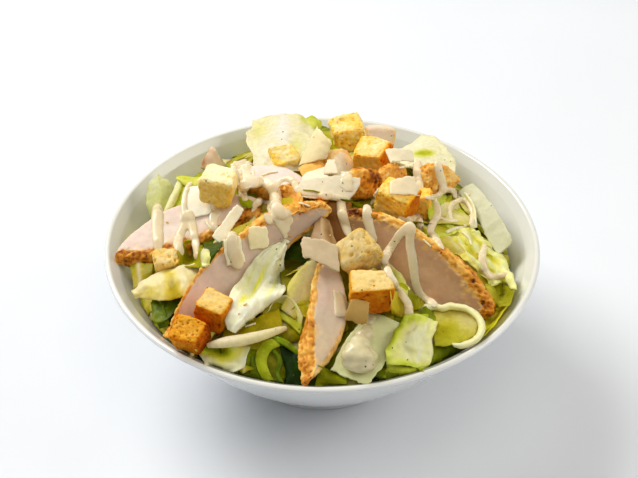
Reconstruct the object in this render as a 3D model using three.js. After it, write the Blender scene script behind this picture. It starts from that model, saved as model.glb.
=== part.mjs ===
// Chicken caesar salad in its serving bowl: a round white bowl on a low foot ring, a heap of
// romaine in it, and on the heap sliced chicken, croutons, cheese shavings and a dollop of dressing.
// Millimetres, +Z up. The bowl's axis is the Z axis, its foot ring rests on z = 0 and the
// server's side, where the salad comes right up to the rim, is -Y.
import * as THREE from "three";

// ---- bowl ----
const RIM_R = 115; // outer radius of the rim
const BOWL_H = 83; // foot to top of the rim
const WALL = 3.6; // wall thickness
const LIP = 1.8; // radius of the rounded lip
const FOOT_R = 48.5; // outer radius of the foot ring
const FOOT_IN = 43.5; // inner radius of the foot ring
const FOOT_H = 5; // height of the foot ring
const RECESS = 3; // height of the underside inside the ring
const FLOOR = 6.8; // height of the inside floor
const ROOT_R = 38; // radius the outer curve springs from, inside the foot
const ROOT_Z = 2; // and its height
const FLARE = 0.71; // power of the outer curve: 1 is a cone, less is rounder
const BOWL_SEGMENTS = 56;

// ---- heap of leaves ----
const APEX = 104; // top of the heap
const HEAP_R = 106; // radius where the heap meets the wall
const GAP = 0.6; // between the heap and whatever it touches
const HEAP_SECTORS = 56;
const HEAP_RINGS = 18;

// ---- slices, shavings and croutons ----
// A slab or a shaving runs from one end to the other along the middle of its seen face; lean is
// how far that face is turned from straight up, towards the right-hand side of the way it runs.
const CHICKEN = {
  "a": { from: [-106.8, -18.1, 85.5], to: [-34.1, 5.8, 102.6], lean: 14, wide: 27, thick: 9.5, full: 0.5, blunt: [0.62, 0.55], bow: 2.0, skin: -1 },
  "b": { from: [-49.3, 31.9, 100.7], to: [-8.9, 11.5, 109.5], lean: 12, wide: 20, thick: 9.0, full: 0.45, blunt: [0.5, 0.6], bow: 0.0, skin: -1 },
  "c": { from: [-75.2, -76.5, 80.1], to: [5.1, -13.3, 110.5], lean: 62, wide: 33, thick: 9.5, full: 0.45, blunt: [0.75, 0.4], bow: 4.0, skin: 1 },
  "d": { from: [2.8, -47.9, 106.1], to: [-4.8, -109.5, 86.5], lean: -25, wide: 20, thick: 8.5, full: 0.42, blunt: [0.35, 0.85], bow: 4.0, skin: -1 },
  "e": { from: [10.2, -12.9, 106.4], to: [84.2, -59.3, 79.5], lean: 62, wide: 31, thick: 9.5, full: 0.5, blunt: [0.6, 0.55], bow: -1.0, skin: 1 },
  "f": { from: [0.5, -18.3, 94.3], to: [12.3, -17.8, 93.9], lean: 56, wide: 15, thick: 6.0, full: 0.5, blunt: [0.5, 0.5], bow: 0.0, skin: 1 },
  "g": { from: [11.0, 6.9, 109.5], to: [29.5, 12.9, 107.1], lean: 72, wide: 16, thick: 8.0, full: 0.5, blunt: [0.3, 0.3], bow: 0.0, skin: 1 },
  "h": { from: [5.4, 27.4, 105.2], to: [17.6, 40.9, 102.2], lean: 50, wide: 18, thick: 7.0, full: 0.5, blunt: [0.6, 0.6], bow: 1.0, skin: 1 },
  "i": { from: [25.3, 75.0, 97.1], to: [42.7, 78.3, 93.5], lean: 70, wide: 15, thick: 8.0, full: 0.5, blunt: [0.5, 0.3], bow: 0.0, skin: 1 },
  "j": { from: [-66.1, 58.4, 86.5], to: [-59.4, 63.7, 92.4], lean: 60, wide: 12, thick: 8.0, full: 0.5, blunt: [0.6, 0.6], bow: 0.0, skin: 1 },
  "k": { from: [55.2, 27.5, 98.5], to: [77.2, 41.7, 88.8], lean: 68, wide: 17, thick: 10.0, full: 0.4, blunt: [0.3, 0.7], bow: 0.0, skin: 1 },
  "l": { from: [32.8, 16.3, 107.3], to: [40.6, 22.0, 105.1], lean: 72, wide: 13, thick: 6.5, full: 0.5, blunt: [0.3, 0.3], bow: 0.0, skin: 1 }
};
const SHAVINGS = {
  "01": { from: [-11.9, 0.9, 114.6], to: [18.1, 0.8, 114.1], lean: 22, wide: 14, thick: 1.6, taper: 0.1, skew: 2.0, bow: 0.5, curl: 1.5 },
  "02": { from: [78.2, 35.7, 90.5], to: [94.8, -10.8, 84.2], lean: 34, wide: 11, thick: 1.7, taper: 0.1, skew: 0, bow: 2.2, curl: 2.0 },
  "03": { from: [12.8, -104.8, 84.5], to: [33.8, -70.7, 88.5], lean: 14, wide: 22, thick: 1.8, taper: 0.05, skew: -2.0, bow: 0.0, curl: 1.2 },
  "04": { from: [-31.2, -34.3, 115.4], to: [-30.8, -39.9, 105.3], lean: -22.6, wide: 10, thick: 1.8, taper: 0.05, skew: 0, bow: 0.0, curl: 0.4 },
  "05": { from: [-44.0, -43.1, 114.2], to: [-42.3, -48.9, 102.5], lean: -11.2, wide: 9.0, thick: 2.0, taper: 0.1, skew: 0.0, bow: 0.0, curl: 0.5 },
  "06": { from: [-51.8, -34.1, 107.0], to: [-40.7, -12.7, 112.0], lean: 34, wide: 6.5, thick: 1.7, taper: -0.25, skew: 0.0, bow: 0.4, curl: 1.0 },
  "07": { from: [-9.8, -50.9, 116.8], to: [7.6, -59.0, 117.1], lean: 34, wide: 11, thick: 1.8, taper: 0.1, skew: -1.5, bow: 0.0, curl: 1.0 },
  "08": { from: [7.6, -63.9, 100.5], to: [9.4, -77.0, 94.9], lean: -19.8, wide: 5.5, thick: 1.5, taper: 0.1, skew: 0, bow: 0.3, curl: 0.3 },
  "09": { from: [18.1, -80.1, 108.6], to: [15.2, -88.5, 102.1], lean: -12, wide: 9, thick: 1.7, taper: 0.1, skew: 0.0, bow: 0.0, curl: 0.8 },
  "10": { from: [35.3, -9.4, 123.4], to: [50.8, -1.5, 117.6], lean: 28, wide: 10, thick: 1.7, taper: 0.1, skew: 1.0, bow: 0.0, curl: 1.0 },
  "11": { from: [-10.3, 41.3, 113.2], to: [2.8, 32.2, 117.4], lean: 40, wide: 17, thick: 1.7, taper: -0.45, skew: 1.0, bow: 0.0, curl: 2.0 },
  "12": { from: [-72.2, -42.7, 89.4], to: [-59.6, -40.5, 93.5], lean: 34, wide: 9, thick: 1.8, taper: -0.2, skew: 0.0, bow: 0.0, curl: 1.0 },
  "13": { from: [-65.7, -2.5, 99.0], to: [-68.9, 15.9, 104.3], lean: -10.1, wide: 12.5, thick: 1.7, taper: -0.36, skew: 0.0, bow: 0.0, curl: 0.6 },
  "14": { from: [33.8, 24.5, 116.4], to: [49.8, 33.7, 110.6], lean: 30, wide: 8, thick: 1.7, taper: -0.1, skew: 0.0, bow: 0.0, curl: 1.0 },
  "15": { from: [4.2, 15.9, 113.4], to: [4.8, 27.6, 114.2], lean: -8, wide: 6, thick: 1.6, taper: -0.3, skew: 0.0, bow: 0.0, curl: 0.8 },
  "16": { from: [-37.4, 4.9, 112.9], to: [-38.9, 26.1, 110.1], lean: 4, wide: 6.0, thick: 1.7, taper: 0.1, skew: 0.0, bow: 0.0, curl: 1.0 }
};
const CROUTONS = {
  "01": { at: [-53.6, 5.7, 111.7], size: [19, 18, 18], turn: [6, 4, -14] },
  "02": { at: [14.9, 72.4, 100.2], size: [19, 16, 17], turn: [14, -8, 12] },
  "03": { at: [27.8, 39.4, 106.6], size: [19, 16, 15], turn: [10, -8, -22] },
  "04": { at: [38.8, -2.3, 108.0], size: [20, 16, 15], turn: [6, 6, -30] },
  "05": { at: [17.8, -50.1, 111.7], size: [20, 17, 18], turn: [30, -18, 30] },
  "06": { at: [23.2, -70.0, 104.0], size: [20, 15, 17], turn: [4, 2, 4] },
  "07": { at: [-51.9, -72.5, 94.7], size: [15.5, 14.5, 15.5], turn: [10, 4, -28] },
  "08": { at: [-62.9, -84.1, 89.2], size: [15.5, 13, 14], turn: [20, -6, -22] },
  "09": { at: [-78.8, -30.6, 90.5], size: [15, 12, 10], turn: [16, 8, 14] },
  "10": { at: [-21.2, 40.4, 103.9], size: [14, 13, 11], turn: [20, 10, 20] },
  "11": { at: [51.8, 7.6, 99.2], size: [11, 12, 15], turn: [4, 4, -8] }
};
const DOLLOP = { from: [20.8, -78.5, 93.7], to: [16.4, -106.7, 88.3], lean: -10.7, wide: 9.6, thick: 8.5 };

// A repeatable value in -1..1 for a place.
function rough(x, y, z, seed) {
  const s = Math.sin(x * 12.9898 + y * 78.233 + z * 37.719 + seed * 19.17) * 43758.5453;
  return 2 * (s - Math.floor(s)) - 1;
}

function material(colour, roughness, metalness = 0) {
  return new THREE.MeshStandardMaterial({ color: colour, roughness, metalness });
}

// A closed mesh from corner points and triangles.
function solid(points, faces) {
  const g = new THREE.BufferGeometry();
  g.setAttribute("position", new THREE.Float32BufferAttribute(points.flat(), 3));
  g.setIndex(faces.flat());
  g.computeVertexNormals();
  return g;
}

// ---- bowl profile ----
function outerR(z) {
  return ROOT_R + (RIM_R - ROOT_R) * Math.pow(Math.max(z - ROOT_Z, 0) / (BOWL_H - ROOT_Z), FLARE);
}
// The inner wall: the outer one moved in by the wall thickness, square to the curve.
function innerPoint(z) {
  const dr = (outerR(z + 0.05) - outerR(z - 0.05)) / 0.1;
  const k = WALL / Math.hypot(1, dr);
  return [outerR(z) - k, z + k * dr];
}
const innerWall = [];
for (let z = 4; z <= BOWL_H - LIP - 0.5; z += 0.5) {
  const p = innerPoint(z);
  if (p[1] > FLOOR + 0.2 && p[1] < BOWL_H - LIP) innerWall.push(p);
}
// Height of the inside of the bowl at a radius.
function insideZ(r) {
  if (r <= innerWall[0][0]) return FLOOR;
  for (let i = 1; i < innerWall.length; i++)
    if (r <= innerWall[i][0]) {
      const [a, b] = [innerWall[i - 1], innerWall[i]];
      return a[1] + ((b[1] - a[1]) * (r - a[0])) / (b[0] - a[0]);
    }
  return BOWL_H;
}

function bowlGeometry() {
  const p = [[0, FLOOR], [30, FLOOR]];
  const steps = 7;
  for (let i = 0; i <= steps; i++)
    p.push(innerWall[Math.round(((innerWall.length - 1) * i) / steps)]);
  const c = [RIM_R - LIP, BOWL_H - LIP];
  for (const deg of [150, 90, 30]) {
    const a = (deg * Math.PI) / 180;
    p.push([c[0] + LIP * Math.cos(a), c[1] + LIP * Math.sin(a)]);
  }
  for (let i = 6; i >= 0; i--) {
    const z = FOOT_H + (BOWL_H - 3.2 - FOOT_H) * Math.pow(i / 6, 1.25);
    p.push([outerR(z), z]);
  }
  p.push([FOOT_R - 0.6, FOOT_H - 1.5], [FOOT_R, 0.8], [FOOT_R - 0.8, 0], [FOOT_IN + 0.8, 0]);
  p.push([FOOT_IN, RECESS], [0, RECESS]);
  const g = new THREE.LatheGeometry(p.reverse().map(([r, z]) => new THREE.Vector2(r, z)), BOWL_SEGMENTS);
  g.rotateX(Math.PI / 2);
  return g;
}

// ---- slab of chicken ----
// Half the width along a slab: widest at "full", falling off to each end, blunt or pointed.
function halfWidth(s, u) {
  const [m, [a, b]] = [s.full, s.blunt];
  const k = u < m ? Math.pow(Math.sin((Math.PI / 2) * (u / m)), a)
                  : Math.pow(Math.sin((Math.PI / 2) * ((1 - u) / (1 - m))), b);
  return (s.wide / 2) * k;
}
function slabGeometry(s, length, seed) {
  const stations = 10, chamfer = 0.9;
  const rim = []; // outline: up one side, back along the other
  for (let k = 0; k <= stations; k++) {
    const u = (1 - Math.cos((Math.PI * k) / stations)) / 2;
    rim.push([u, 1]);
  }
  for (let k = stations - 1; k > 0; k--) {
    const u = (1 - Math.cos((Math.PI * k) / stations)) / 2;
    rim.push([u, -1]);
  }
  const n = rim.length;
  const rings = [[0, -chamfer], [-1.1, 0], [-1, 0], [-1, -chamfer]]; // height, inset
  const pts = [];
  rings.forEach(([, inset], j) => {
    for (const [u, side] of rim) {
      const deep = s.thick * (0.72 + 0.28 * Math.sin(Math.PI * u));
      const h = halfWidth(s, u);
      const end = k => (k === 0 ? 1 : k === 1 ? -1 : 0);
      const x = (u - 0.5) * length + end(u) * -inset * 1;
      const w = Math.max(h + (h > 0 ? inset : 0), h * 0.6) * (1 + 0.045 * rough(u, side, 1, seed));
      const y = side * w + s.bow * 4 * u * (1 - u);
      const z = j === 0 ? 0 : j === 1 ? -1.1 : j === 2 ? -(deep - 1.2) : -deep;
      pts.push([x, y, z + (j === 0 || j === 3 ? 0 : 0)]);
    }
  });
  const faces = [];
  for (let j = 0; j < 3; j++)
    for (let i = 0; i < n; i++) {
      const [a, b] = [j * n + i, j * n + ((i + 1) % n)];
      faces.push([a, b, b + n], [a, b + n, a + n]);
    }
  const cap = (base, flip) => {
    const other = k => base + ((n - k) % n);
    for (let k = 0; k < stations; k++) {
      const [a, b, c, d] = [base + k, base + k + 1, other(k + 1), other(k)];
      if (k > 0) faces.push(flip ? [a, b, d] : [a, d, b]);
      if (k < stations - 1) faces.push(flip ? [b, c, d] : [b, d, c]);
    }
  };
  cap(0, false);
  cap(3 * n, true);
  return solid(pts, faces);
}

// ---- shaving of cheese: a thin plate, tapered, skewed and curled ----
function shavingGeometry(s, length, seed) {
  const [nx, ny] = [4, 3];
  const pts = [];
  for (const side of [0, 1])
    for (let i = 0; i <= nx; i++)
      for (let j = 0; j <= ny; j++) {
        const [u, v] = [(2 * i) / nx - 1, (2 * j) / ny - 1];
        const edge = Math.abs(u) === 1 || Math.abs(v) === 1;
        const round = 1 - 0.1 * u * u * v * v;
        const x = (length / 2) * u * round + s.skew * v + (edge ? 0.45 * rough(u, v, 2, seed) : 0);
        const y = (s.wide / 2) * v * (1 + s.taper * u) * round + s.bow * (1 - u * u) +
          (edge ? 0.35 * rough(u, v, 3, seed) : 0);
        const z = -s.curl * u * u + 0.5 * s.curl * v * u;
        pts.push([x, y, z - side * s.thick * (edge ? 0.8 : 1)]);
      }
  const at = (k, i, j) => k * (nx + 1) * (ny + 1) + i * (ny + 1) + j;
  const faces = [];
  for (let i = 0; i < nx; i++)
    for (let j = 0; j < ny; j++) {
      const q = k => [at(k, i, j), at(k, i + 1, j), at(k, i + 1, j + 1), at(k, i, j + 1)];
      const [a, b, c, d] = q(0);
      faces.push([a, b, c], [a, c, d]);
      const [e, f, g, h] = q(1);
      faces.push([e, g, f], [e, h, g]);
    }
  const ring = [];
  for (let i = 0; i < nx; i++) ring.push([i, 0]);
  for (let j = 0; j < ny; j++) ring.push([nx, j]);
  for (let i = nx; i > 0; i--) ring.push([i, ny]);
  for (let j = ny; j > 0; j--) ring.push([0, j]);
  ring.forEach(([i, j], k) => {
    const [p, q] = ring[(k + 1) % ring.length];
    const [a, b, c, d] = [at(0, i, j), at(0, p, q), at(1, p, q), at(1, i, j)];
    faces.push([a, d, c], [a, c, b]);
  });
  return solid(pts, faces);
}

// ---- crouton: a cube of bread with worn edges ----
function croutonGeometry([a, b, c], seed) {
  const g = new THREE.BoxGeometry(2, 2, 2, 3, 3, 3);
  g.deleteAttribute("normal");
  g.deleteAttribute("uv");
  const p = g.getAttribute("position");
  for (let i = 0; i < p.count; i++) {
    const v = [p.getX(i), p.getY(i), p.getZ(i)].map(t => Math.round(t * 1000) / 1000);
    const n = Math.pow(v.reduce((s, t) => s + Math.pow(Math.abs(t), 7), 0), 1 / 7);
    const m = Math.max(...v.map(Math.abs)) / n;
    const e = k => 0.55 * rough(v[0], v[1], v[2], seed + k);
    p.setXYZ(i, (v[0] * m * a) / 2 + e(1), (v[1] * m * b) / 2 + e(2), (v[2] * m * c) / 2 + e(3));
  }
  return g;
}

// ---- dollop: a drop, narrow where it fell from and full where it settled ----
function dollopGeometry(s, length) {
  const [rings, around] = [8, 12];
  const pts = [[-length / 2, 0, -s.thick * 0.25]];
  for (let i = 1; i < rings; i++) {
    const u = i / rings;
    const fat = u < 0.62 ? 0.4 + 0.6 * Math.sin((Math.PI / 2) * (u / 0.62)) ** 1.6
      : Math.pow(Math.cos((Math.PI / 2) * ((u - 0.62) / 0.38)), 0.55);
    for (let j = 0; j < around; j++) {
      const a = (2 * Math.PI * j) / around;
      const w = (s.wide * fat * (1 + 0.06 * Math.sin(3 * a + 5 * u)));
      const h = s.thick * 0.5 * Math.min(1, fat * 1.15);
      const lift = Math.sin(a) < 0 ? 0.45 : 1;
      pts.push([(u - 0.5) * length, w * Math.cos(a), h * Math.sin(a) * lift - s.thick * 0.25]);
    }
  }
  pts.push([length / 2, 0, -s.thick * 0.25]);
  const faces = [];
  const last = pts.length - 1;
  for (let j = 0; j < around; j++) {
    const k = (j + 1) % around;
    faces.push([0, 1 + k, 1 + j]);
    for (let i = 0; i < rings - 2; i++) {
      const [a, b] = [1 + i * around + j, 1 + i * around + k];
      faces.push([a, b, b + around], [a, b + around, a + around]);
    }
    const base = 1 + (rings - 2) * around;
    faces.push([base + j, base + k, last]);
  }
  return solid(pts, faces);
}

// ---- assembly ----
const root = new THREE.Group();
root.name = "chicken_caesar_salad";

function add(name, geometry, mat) {
  const mesh = new THREE.Mesh(geometry, mat);
  mesh.name = name;
  root.add(mesh);
  return mesh;
}

// Places a plate: x along from-to, z square to its face.
function lay(mesh, s) {
  const [a, b] = [new THREE.Vector3(...s.from), new THREE.Vector3(...s.to)];
  const x = b.clone().sub(a).normalize();
  const up = new THREE.Vector3(0, 0, 1);
  up.addScaledVector(x, -up.dot(x)).normalize();
  const side = new THREE.Vector3().crossVectors(up, x);
  const lean = ((s.lean ?? 0) * Math.PI) / 180;
  const n = up.clone().multiplyScalar(Math.cos(lean)).addScaledVector(side, -Math.sin(lean));
  const y = new THREE.Vector3().crossVectors(n, x);
  mesh.rotation.setFromRotationMatrix(new THREE.Matrix4().makeBasis(x, y, n));
  mesh.position.copy(a).add(b).multiplyScalar(0.5);
}
const span = s => Math.hypot(...s.to.map((t, i) => t - s.from[i]));

add("bowl", bowlGeometry(), material(0xe4e5df, 0.22));

const toppings = [];
Object.entries(CHICKEN).forEach(([key, s], i) => {
  const m = add("chicken_" + key, slabGeometry(s, span(s), i + 1), material(0xd9bfae, 0.55));
  lay(m, s);
  toppings.push(m);
});
Object.entries(CROUTONS).forEach(([key, s], i) => {
  const m = add("crouton_" + key, croutonGeometry(s.size, i + 1), material(0xe0a63c, 0.8));
  m.position.set(...s.at);
  m.rotation.set(...s.turn.map(d => (d * Math.PI) / 180));
  toppings.push(m);
});
Object.entries(SHAVINGS).forEach(([key, s], i) => {
  const m = add("shaving_" + key, shavingGeometry(s, span(s), i + 1), material(0xefe6c4, 0.5));
  lay(m, s);
  toppings.push(m);
});
{
  const m = add("dressing_dollop", dollopGeometry(DOLLOP, span(DOLLOP)), material(0xe9e1c6, 0.35));
  lay(m, DOLLOP);
  toppings.push(m);
}

// ---- heap of leaves: one uneven mound, dented under every topping ----
// Height at which the heap meets the wall, by direction: it comes up to the rim at the front and
// the back and sits lower at the sides, lowest at the back left and the back right.
function edgeZ(a) {
  const dip = Math.sin(a) > 0 ? 5 * Math.sin(2 * a) ** 2 : 0;
  return 73.5 + 5.5 * Math.cos(2 * (a - Math.PI / 2)) - dip;
}
function heapGeometry() {
  const height = [], place = [];
  for (let i = 0; i <= HEAP_RINGS; i++)
    for (let j = 0; j < (i === 0 ? 1 : HEAP_SECTORS); j++) {
      const a = (2 * Math.PI * j) / HEAP_SECTORS;
      const e = edgeZ(a);
      let edge = 60;
      while (insideZ(edge + 0.1) < e) edge += 0.1;
      const f = Math.pow(i / HEAP_RINGS, 0.8);
      const r = f * (edge - GAP);
      const [x, y] = [r * Math.cos(a), r * Math.sin(a)];
      const lumps = 1.9 * Math.sin(x / 7.3 + 1.1) * Math.cos(y / 8.1) + 1.2 * Math.sin((x - y) / 5.2) +
        1.2 * rough(i, j, 0, 7);
      const z = APEX - (APEX - e) * Math.pow(r / HEAP_R, 2.4) - 1.5 + lumps * (1 - f * f * f * 0.6);
      height.push(z);
      place.push([x, y]);
    }
  const at = (i, j) => (i === 0 ? 0 : 1 + (i - 1) * HEAP_SECTORS + ((j + HEAP_SECTORS) % HEAP_SECTORS));
  // dents: a corner of the grid goes below every point of a topping in the cells round it
  const v = new THREE.Vector3();
  root.updateMatrixWorld(true);
  for (const m of toppings) {
    const g = m.geometry.index ? m.geometry.toNonIndexed() : m.geometry;
    const p = g.getAttribute("position");
    for (let t = 0; t < p.count; t += 3) {
      const c = [0, 1, 2].map(k => new THREE.Vector3().fromBufferAttribute(p, t + k).applyMatrix4(m.matrixWorld));
      const steps = Math.ceil(Math.max(c[0].distanceTo(c[1]), c[1].distanceTo(c[2]), c[2].distanceTo(c[0])) / 1.5);
      for (let a = 0; a <= steps; a++)
        for (let b = 0; b <= steps - a; b++) {
          v.set(0, 0, 0).addScaledVector(c[0], a / steps).addScaledVector(c[1], b / steps)
            .addScaledVector(c[2], (steps - a - b) / steps);
          const ang = (Math.atan2(v.y, v.x) + 2 * Math.PI) % (2 * Math.PI);
          const j = Math.floor((ang / (2 * Math.PI)) * HEAP_SECTORS);
          const k = Math.hypot(...place[at(HEAP_RINGS, j)]);
          const i = Math.min(HEAP_RINGS - 1, Math.floor(Math.pow(Math.hypot(v.x, v.y) / k, 1.25) * HEAP_RINGS));
          for (const q of [at(i, j), at(i, j + 1), at(i + 1, j), at(i + 1, j + 1)])
            height[q] = Math.min(height[q], v.z - GAP);
        }
    }
  }
  const pts = place.map(([x, y], k) => [x, y, Math.max(height[k], insideZ(Math.hypot(x, y)) + GAP * 1.6 + 0.8)]);
  // underside: follows the inside of the bowl
  const below = [];
  const under = [0.94, 0.84, 0.7, 0.52, 0.36];
  under.forEach(f => {
    for (let j = 0; j < HEAP_SECTORS; j++) {
      const [x, y] = place[at(HEAP_RINGS, j)];
      const r = Math.hypot(x, y) * f;
      below.push([x * f, y * f, insideZ(r) + GAP * 1.6]);
    }
  });
  const base = pts.length;
  // the outermost corners stand on the wall: a short skirt under the top edge
  const skirt = base;
  for (let j = 0; j < HEAP_SECTORS; j++) {
    const [x, y] = place[at(HEAP_RINGS, j)];
    pts.push([x, y, insideZ(Math.hypot(x, y)) + GAP]);
  }
  pts.push(...below, [0, 0, FLOOR + GAP]);
  const faces = [];
  const low = (k, j) => skirt + k * HEAP_SECTORS + (j % HEAP_SECTORS);
  for (let j = 0; j < HEAP_SECTORS; j++) {
    faces.push([0, at(1, j), at(1, j + 1)]);
    for (let i = 1; i < HEAP_RINGS; i++)
      faces.push([at(i, j), at(i + 1, j), at(i + 1, j + 1)], [at(i, j), at(i + 1, j + 1), at(i, j + 1)]);
    faces.push([at(HEAP_RINGS, j), low(0, j), low(0, j + 1)], [at(HEAP_RINGS, j), low(0, j + 1), at(HEAP_RINGS, j + 1)]);
    for (let k = 0; k < under.length; k++)
      faces.push([low(k, j), low(k + 1, j), low(k + 1, j + 1)], [low(k, j), low(k + 1, j + 1), low(k, j + 1)]);
    faces.push([low(under.length, j), pts.length - 1, low(under.length, j + 1)]);
  }
  return solid(pts, faces);
}
add("lettuce_heap", heapGeometry(), material(0xa9b84a, 0.6));

export default root;
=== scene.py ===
import math

import bmesh
import bpy
import numpy as np
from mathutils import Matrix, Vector
from mathutils.bvhtree import BVHTree


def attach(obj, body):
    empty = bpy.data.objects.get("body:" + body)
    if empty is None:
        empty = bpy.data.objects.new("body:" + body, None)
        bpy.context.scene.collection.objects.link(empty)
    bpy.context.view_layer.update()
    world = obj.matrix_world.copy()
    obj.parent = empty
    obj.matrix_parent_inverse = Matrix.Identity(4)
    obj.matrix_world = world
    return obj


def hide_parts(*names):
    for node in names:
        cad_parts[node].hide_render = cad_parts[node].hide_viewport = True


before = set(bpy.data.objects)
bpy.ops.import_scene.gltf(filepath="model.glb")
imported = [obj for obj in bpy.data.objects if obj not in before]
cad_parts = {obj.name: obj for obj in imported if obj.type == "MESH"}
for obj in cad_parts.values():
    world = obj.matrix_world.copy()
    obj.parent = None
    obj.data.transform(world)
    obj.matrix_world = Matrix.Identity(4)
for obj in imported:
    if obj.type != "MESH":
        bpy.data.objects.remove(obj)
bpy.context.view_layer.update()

MM = 0.001

# ------------------------------------------------------------------ camera
# Everything below is worked out in millimetres in the CAD frame.
ELEV = math.radians(38.67)
DIST = 660.7
TARGET = np.array([-1.56, 0.0, 80.31])
BACK = np.array([0.0, -math.cos(ELEV), math.sin(ELEV)])
EYE = TARGET + BACK * DIST
FWD = -BACK
RIGHT = np.array([1.0, 0.0, 0.0])
UPV = np.cross(RIGHT, FWD)
FOCAL = 319.0 / (18.0 / 70.0)


def ray(u, v):
    d = FWD + RIGHT * ((u - 319.0) / FOCAL) - UPV * ((v - 239.0) / FOCAL)
    return d / np.linalg.norm(d)


def at_height(u, v, z):
    d = ray(u, v)
    return EYE + d * ((z - EYE[2]) / d[2])


# ------------------------------------------------------------------ noise
def hash3(i, j, k, s):
    h = (i * 374761393 + j * 668265263 + k * 1274126177 + s * 974634777) & 0xFFFFFFFF
    h = ((h ^ (h >> 13)) * 1103515245 + 12345) & 0xFFFFFFFF
    h = ((h ^ (h >> 15)) * 1597334677) & 0xFFFFFFFF
    h = h ^ (h >> 14)
    return (h & 0xFFFFFF) / 16777215.0


def vnoise(p, size, seed=0):
    q = np.asarray(p, float) / size
    f = np.floor(q)
    t = q - f
    t = t * t * t * (t * (t * 6 - 15) + 10)
    i, j, k = (f[:, a].astype(np.int64) for a in range(3))
    out = 0.0
    for a in (0, 1):
        for b in (0, 1):
            for c in (0, 1):
                w = (
                    (t[:, 0] if a else 1 - t[:, 0])
                    * (t[:, 1] if b else 1 - t[:, 1])
                    * (t[:, 2] if c else 1 - t[:, 2])
                )
                out = out + w * hash3(i + a, j + b, k + c, seed)
    return 2 * out - 1


def fbm(p, size, octaves=3, seed=0, gain=0.5):
    out, amp, tot = 0.0, 1.0, 0.0
    for o in range(octaves):
        out = out + amp * vnoise(p, size / 2.03**o, seed + 31 * o)
        tot += amp
        amp *= gain
    return out / tot


def cells(p, size, seed=0):
    """Distance to the nearest scattered point, in cell sizes, and a value for that point."""
    q = np.asarray(p, float) / size
    f = np.floor(q).astype(np.int64)
    best = np.full(len(q), 9.0)
    who = np.zeros(len(q))
    for a in (-1, 0, 1):
        for b in (-1, 0, 1):
            for c in (-1, 0, 1):
                i, j, k = f[:, 0] + a, f[:, 1] + b, f[:, 2] + c
                pt = np.stack(
                    [
                        i + hash3(i, j, k, seed + 1),
                        j + hash3(i, j, k, seed + 2),
                        k + hash3(i, j, k, seed + 3),
                    ],
                    -1,
                )
                d = np.linalg.norm(pt - q, axis=1)
                near = d < best
                best = np.where(near, d, best)
                who = np.where(near, hash3(i, j, k, seed + 4), who)
    return best, who


def rough(x, y, z, seed):
    s = np.sin(x * 12.9898 + y * 78.233 + z * 37.719 + seed * 19.17) * 43758.5453
    return 2 * (s - np.floor(s)) - 1


def smooth01(x, a, b):
    t = np.clip((x - a) / (b - a), 0, 1)
    return t * t * (3 - 2 * t)


def lin(rgb):
    """Linear colour of a display colour given as 0-255."""
    c = np.asarray(rgb, float) / 255.0
    return np.where(c <= 0.04045, c / 12.92, ((c + 0.055) / 1.055) ** 2.4)


def ramp(x, stops):
    """Linear colours for values x, from [(position, 0-255 colour), ...]."""
    pos = [s[0] for s in stops]
    col = np.array([lin(s[1]) for s in stops])
    return np.stack([np.interp(x, pos, col[:, k]) for k in range(3)], -1)


def blend(a, b, t):
    return a * (1 - t)[:, None] + b * t[:, None]


# ------------------------------------------------------------------ meshes
SURFACES = []  # (points in mm, faces) of what dressing, herbs and crumbs can lie on


def grid_quads(nu, nv, wrap_u=False, wrap_v=False):
    iu = np.arange(nu if wrap_u else nu - 1)
    iv = np.arange(nv if wrap_v else nv - 1)
    a, b = np.meshgrid(iu, iv, indexing="ij")
    a2, b2 = (a + 1) % nu, (b + 1) % nv
    return np.stack([a * nv + b, a2 * nv + b, a2 * nv + b2, a * nv + b2], -1).reshape(-1, 4)


def build(name, verts, faces, material, tint=None, values=None, replaces=(), merge=0.0, solid=True):
    """A shaded mesh object from points in mm. tint is a linear colour per point."""
    me = bpy.data.meshes.new(name)
    me.from_pydata((np.asarray(verts) * MM).tolist(), [], [list(map(int, f)) for f in faces])
    if tint is not None:
        a = me.color_attributes.new("tint", "FLOAT_COLOR", "POINT")
        rgba = np.ones((len(verts), 4), np.float32)
        rgba[:, :3] = np.clip(tint, 0, 1)
        a.data.foreach_set("color", rgba.ravel())
    for key, val in (values or {}).items():
        a = me.attributes.new(key, "FLOAT", "POINT")
        a.data.foreach_set("value", np.asarray(val, np.float32))
    if merge:
        bm = bmesh.new()
        bm.from_mesh(me)
        bmesh.ops.remove_doubles(bm, verts=bm.verts, dist=merge * MM)
        bmesh.ops.recalc_face_normals(bm, faces=bm.faces)
        bm.to_mesh(me)
        bm.free()
    me.polygons.foreach_set("use_smooth", [True] * len(me.polygons))
    me.update()
    me.materials.append(material)
    o = bpy.data.objects.new(name, me)
    bpy.context.scene.collection.objects.link(o)
    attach(o, "root")
    if replaces:
        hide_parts(*replaces)
    if solid:
        SURFACES.append(points_of(o))
    return o


def points_of(o):
    me = o.data
    co = np.empty(len(me.vertices) * 3)
    me.vertices.foreach_get("co", co)
    return co.reshape(-1, 3) / MM, [tuple(p.vertices) for p in me.polygons]


def tree_of(parts):
    verts, faces, n = [], [], 0
    for v, f in parts:
        verts.extend(map(tuple, v))
        faces.extend(tuple(i + n for i in g) for g in f)
        n += len(v)
    return BVHTree.FromPolygons(verts, faces)


def cast(tree, u, v):
    d = ray(u, v)
    hit = tree.ray_cast(Vector(EYE), Vector(d))
    if hit[0] is None:
        return None, None, None
    return np.array(hit[0]), np.array(hit[1]), hit[3]


def grid_normals(p, nu, nv):
    g = p.reshape(nu, nv, 3)
    n = np.cross(np.gradient(g, axis=0), np.gradient(g, axis=1))
    return (n / (np.linalg.norm(n, axis=-1, keepdims=True) + 1e-9)).reshape(-1, 3)


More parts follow.
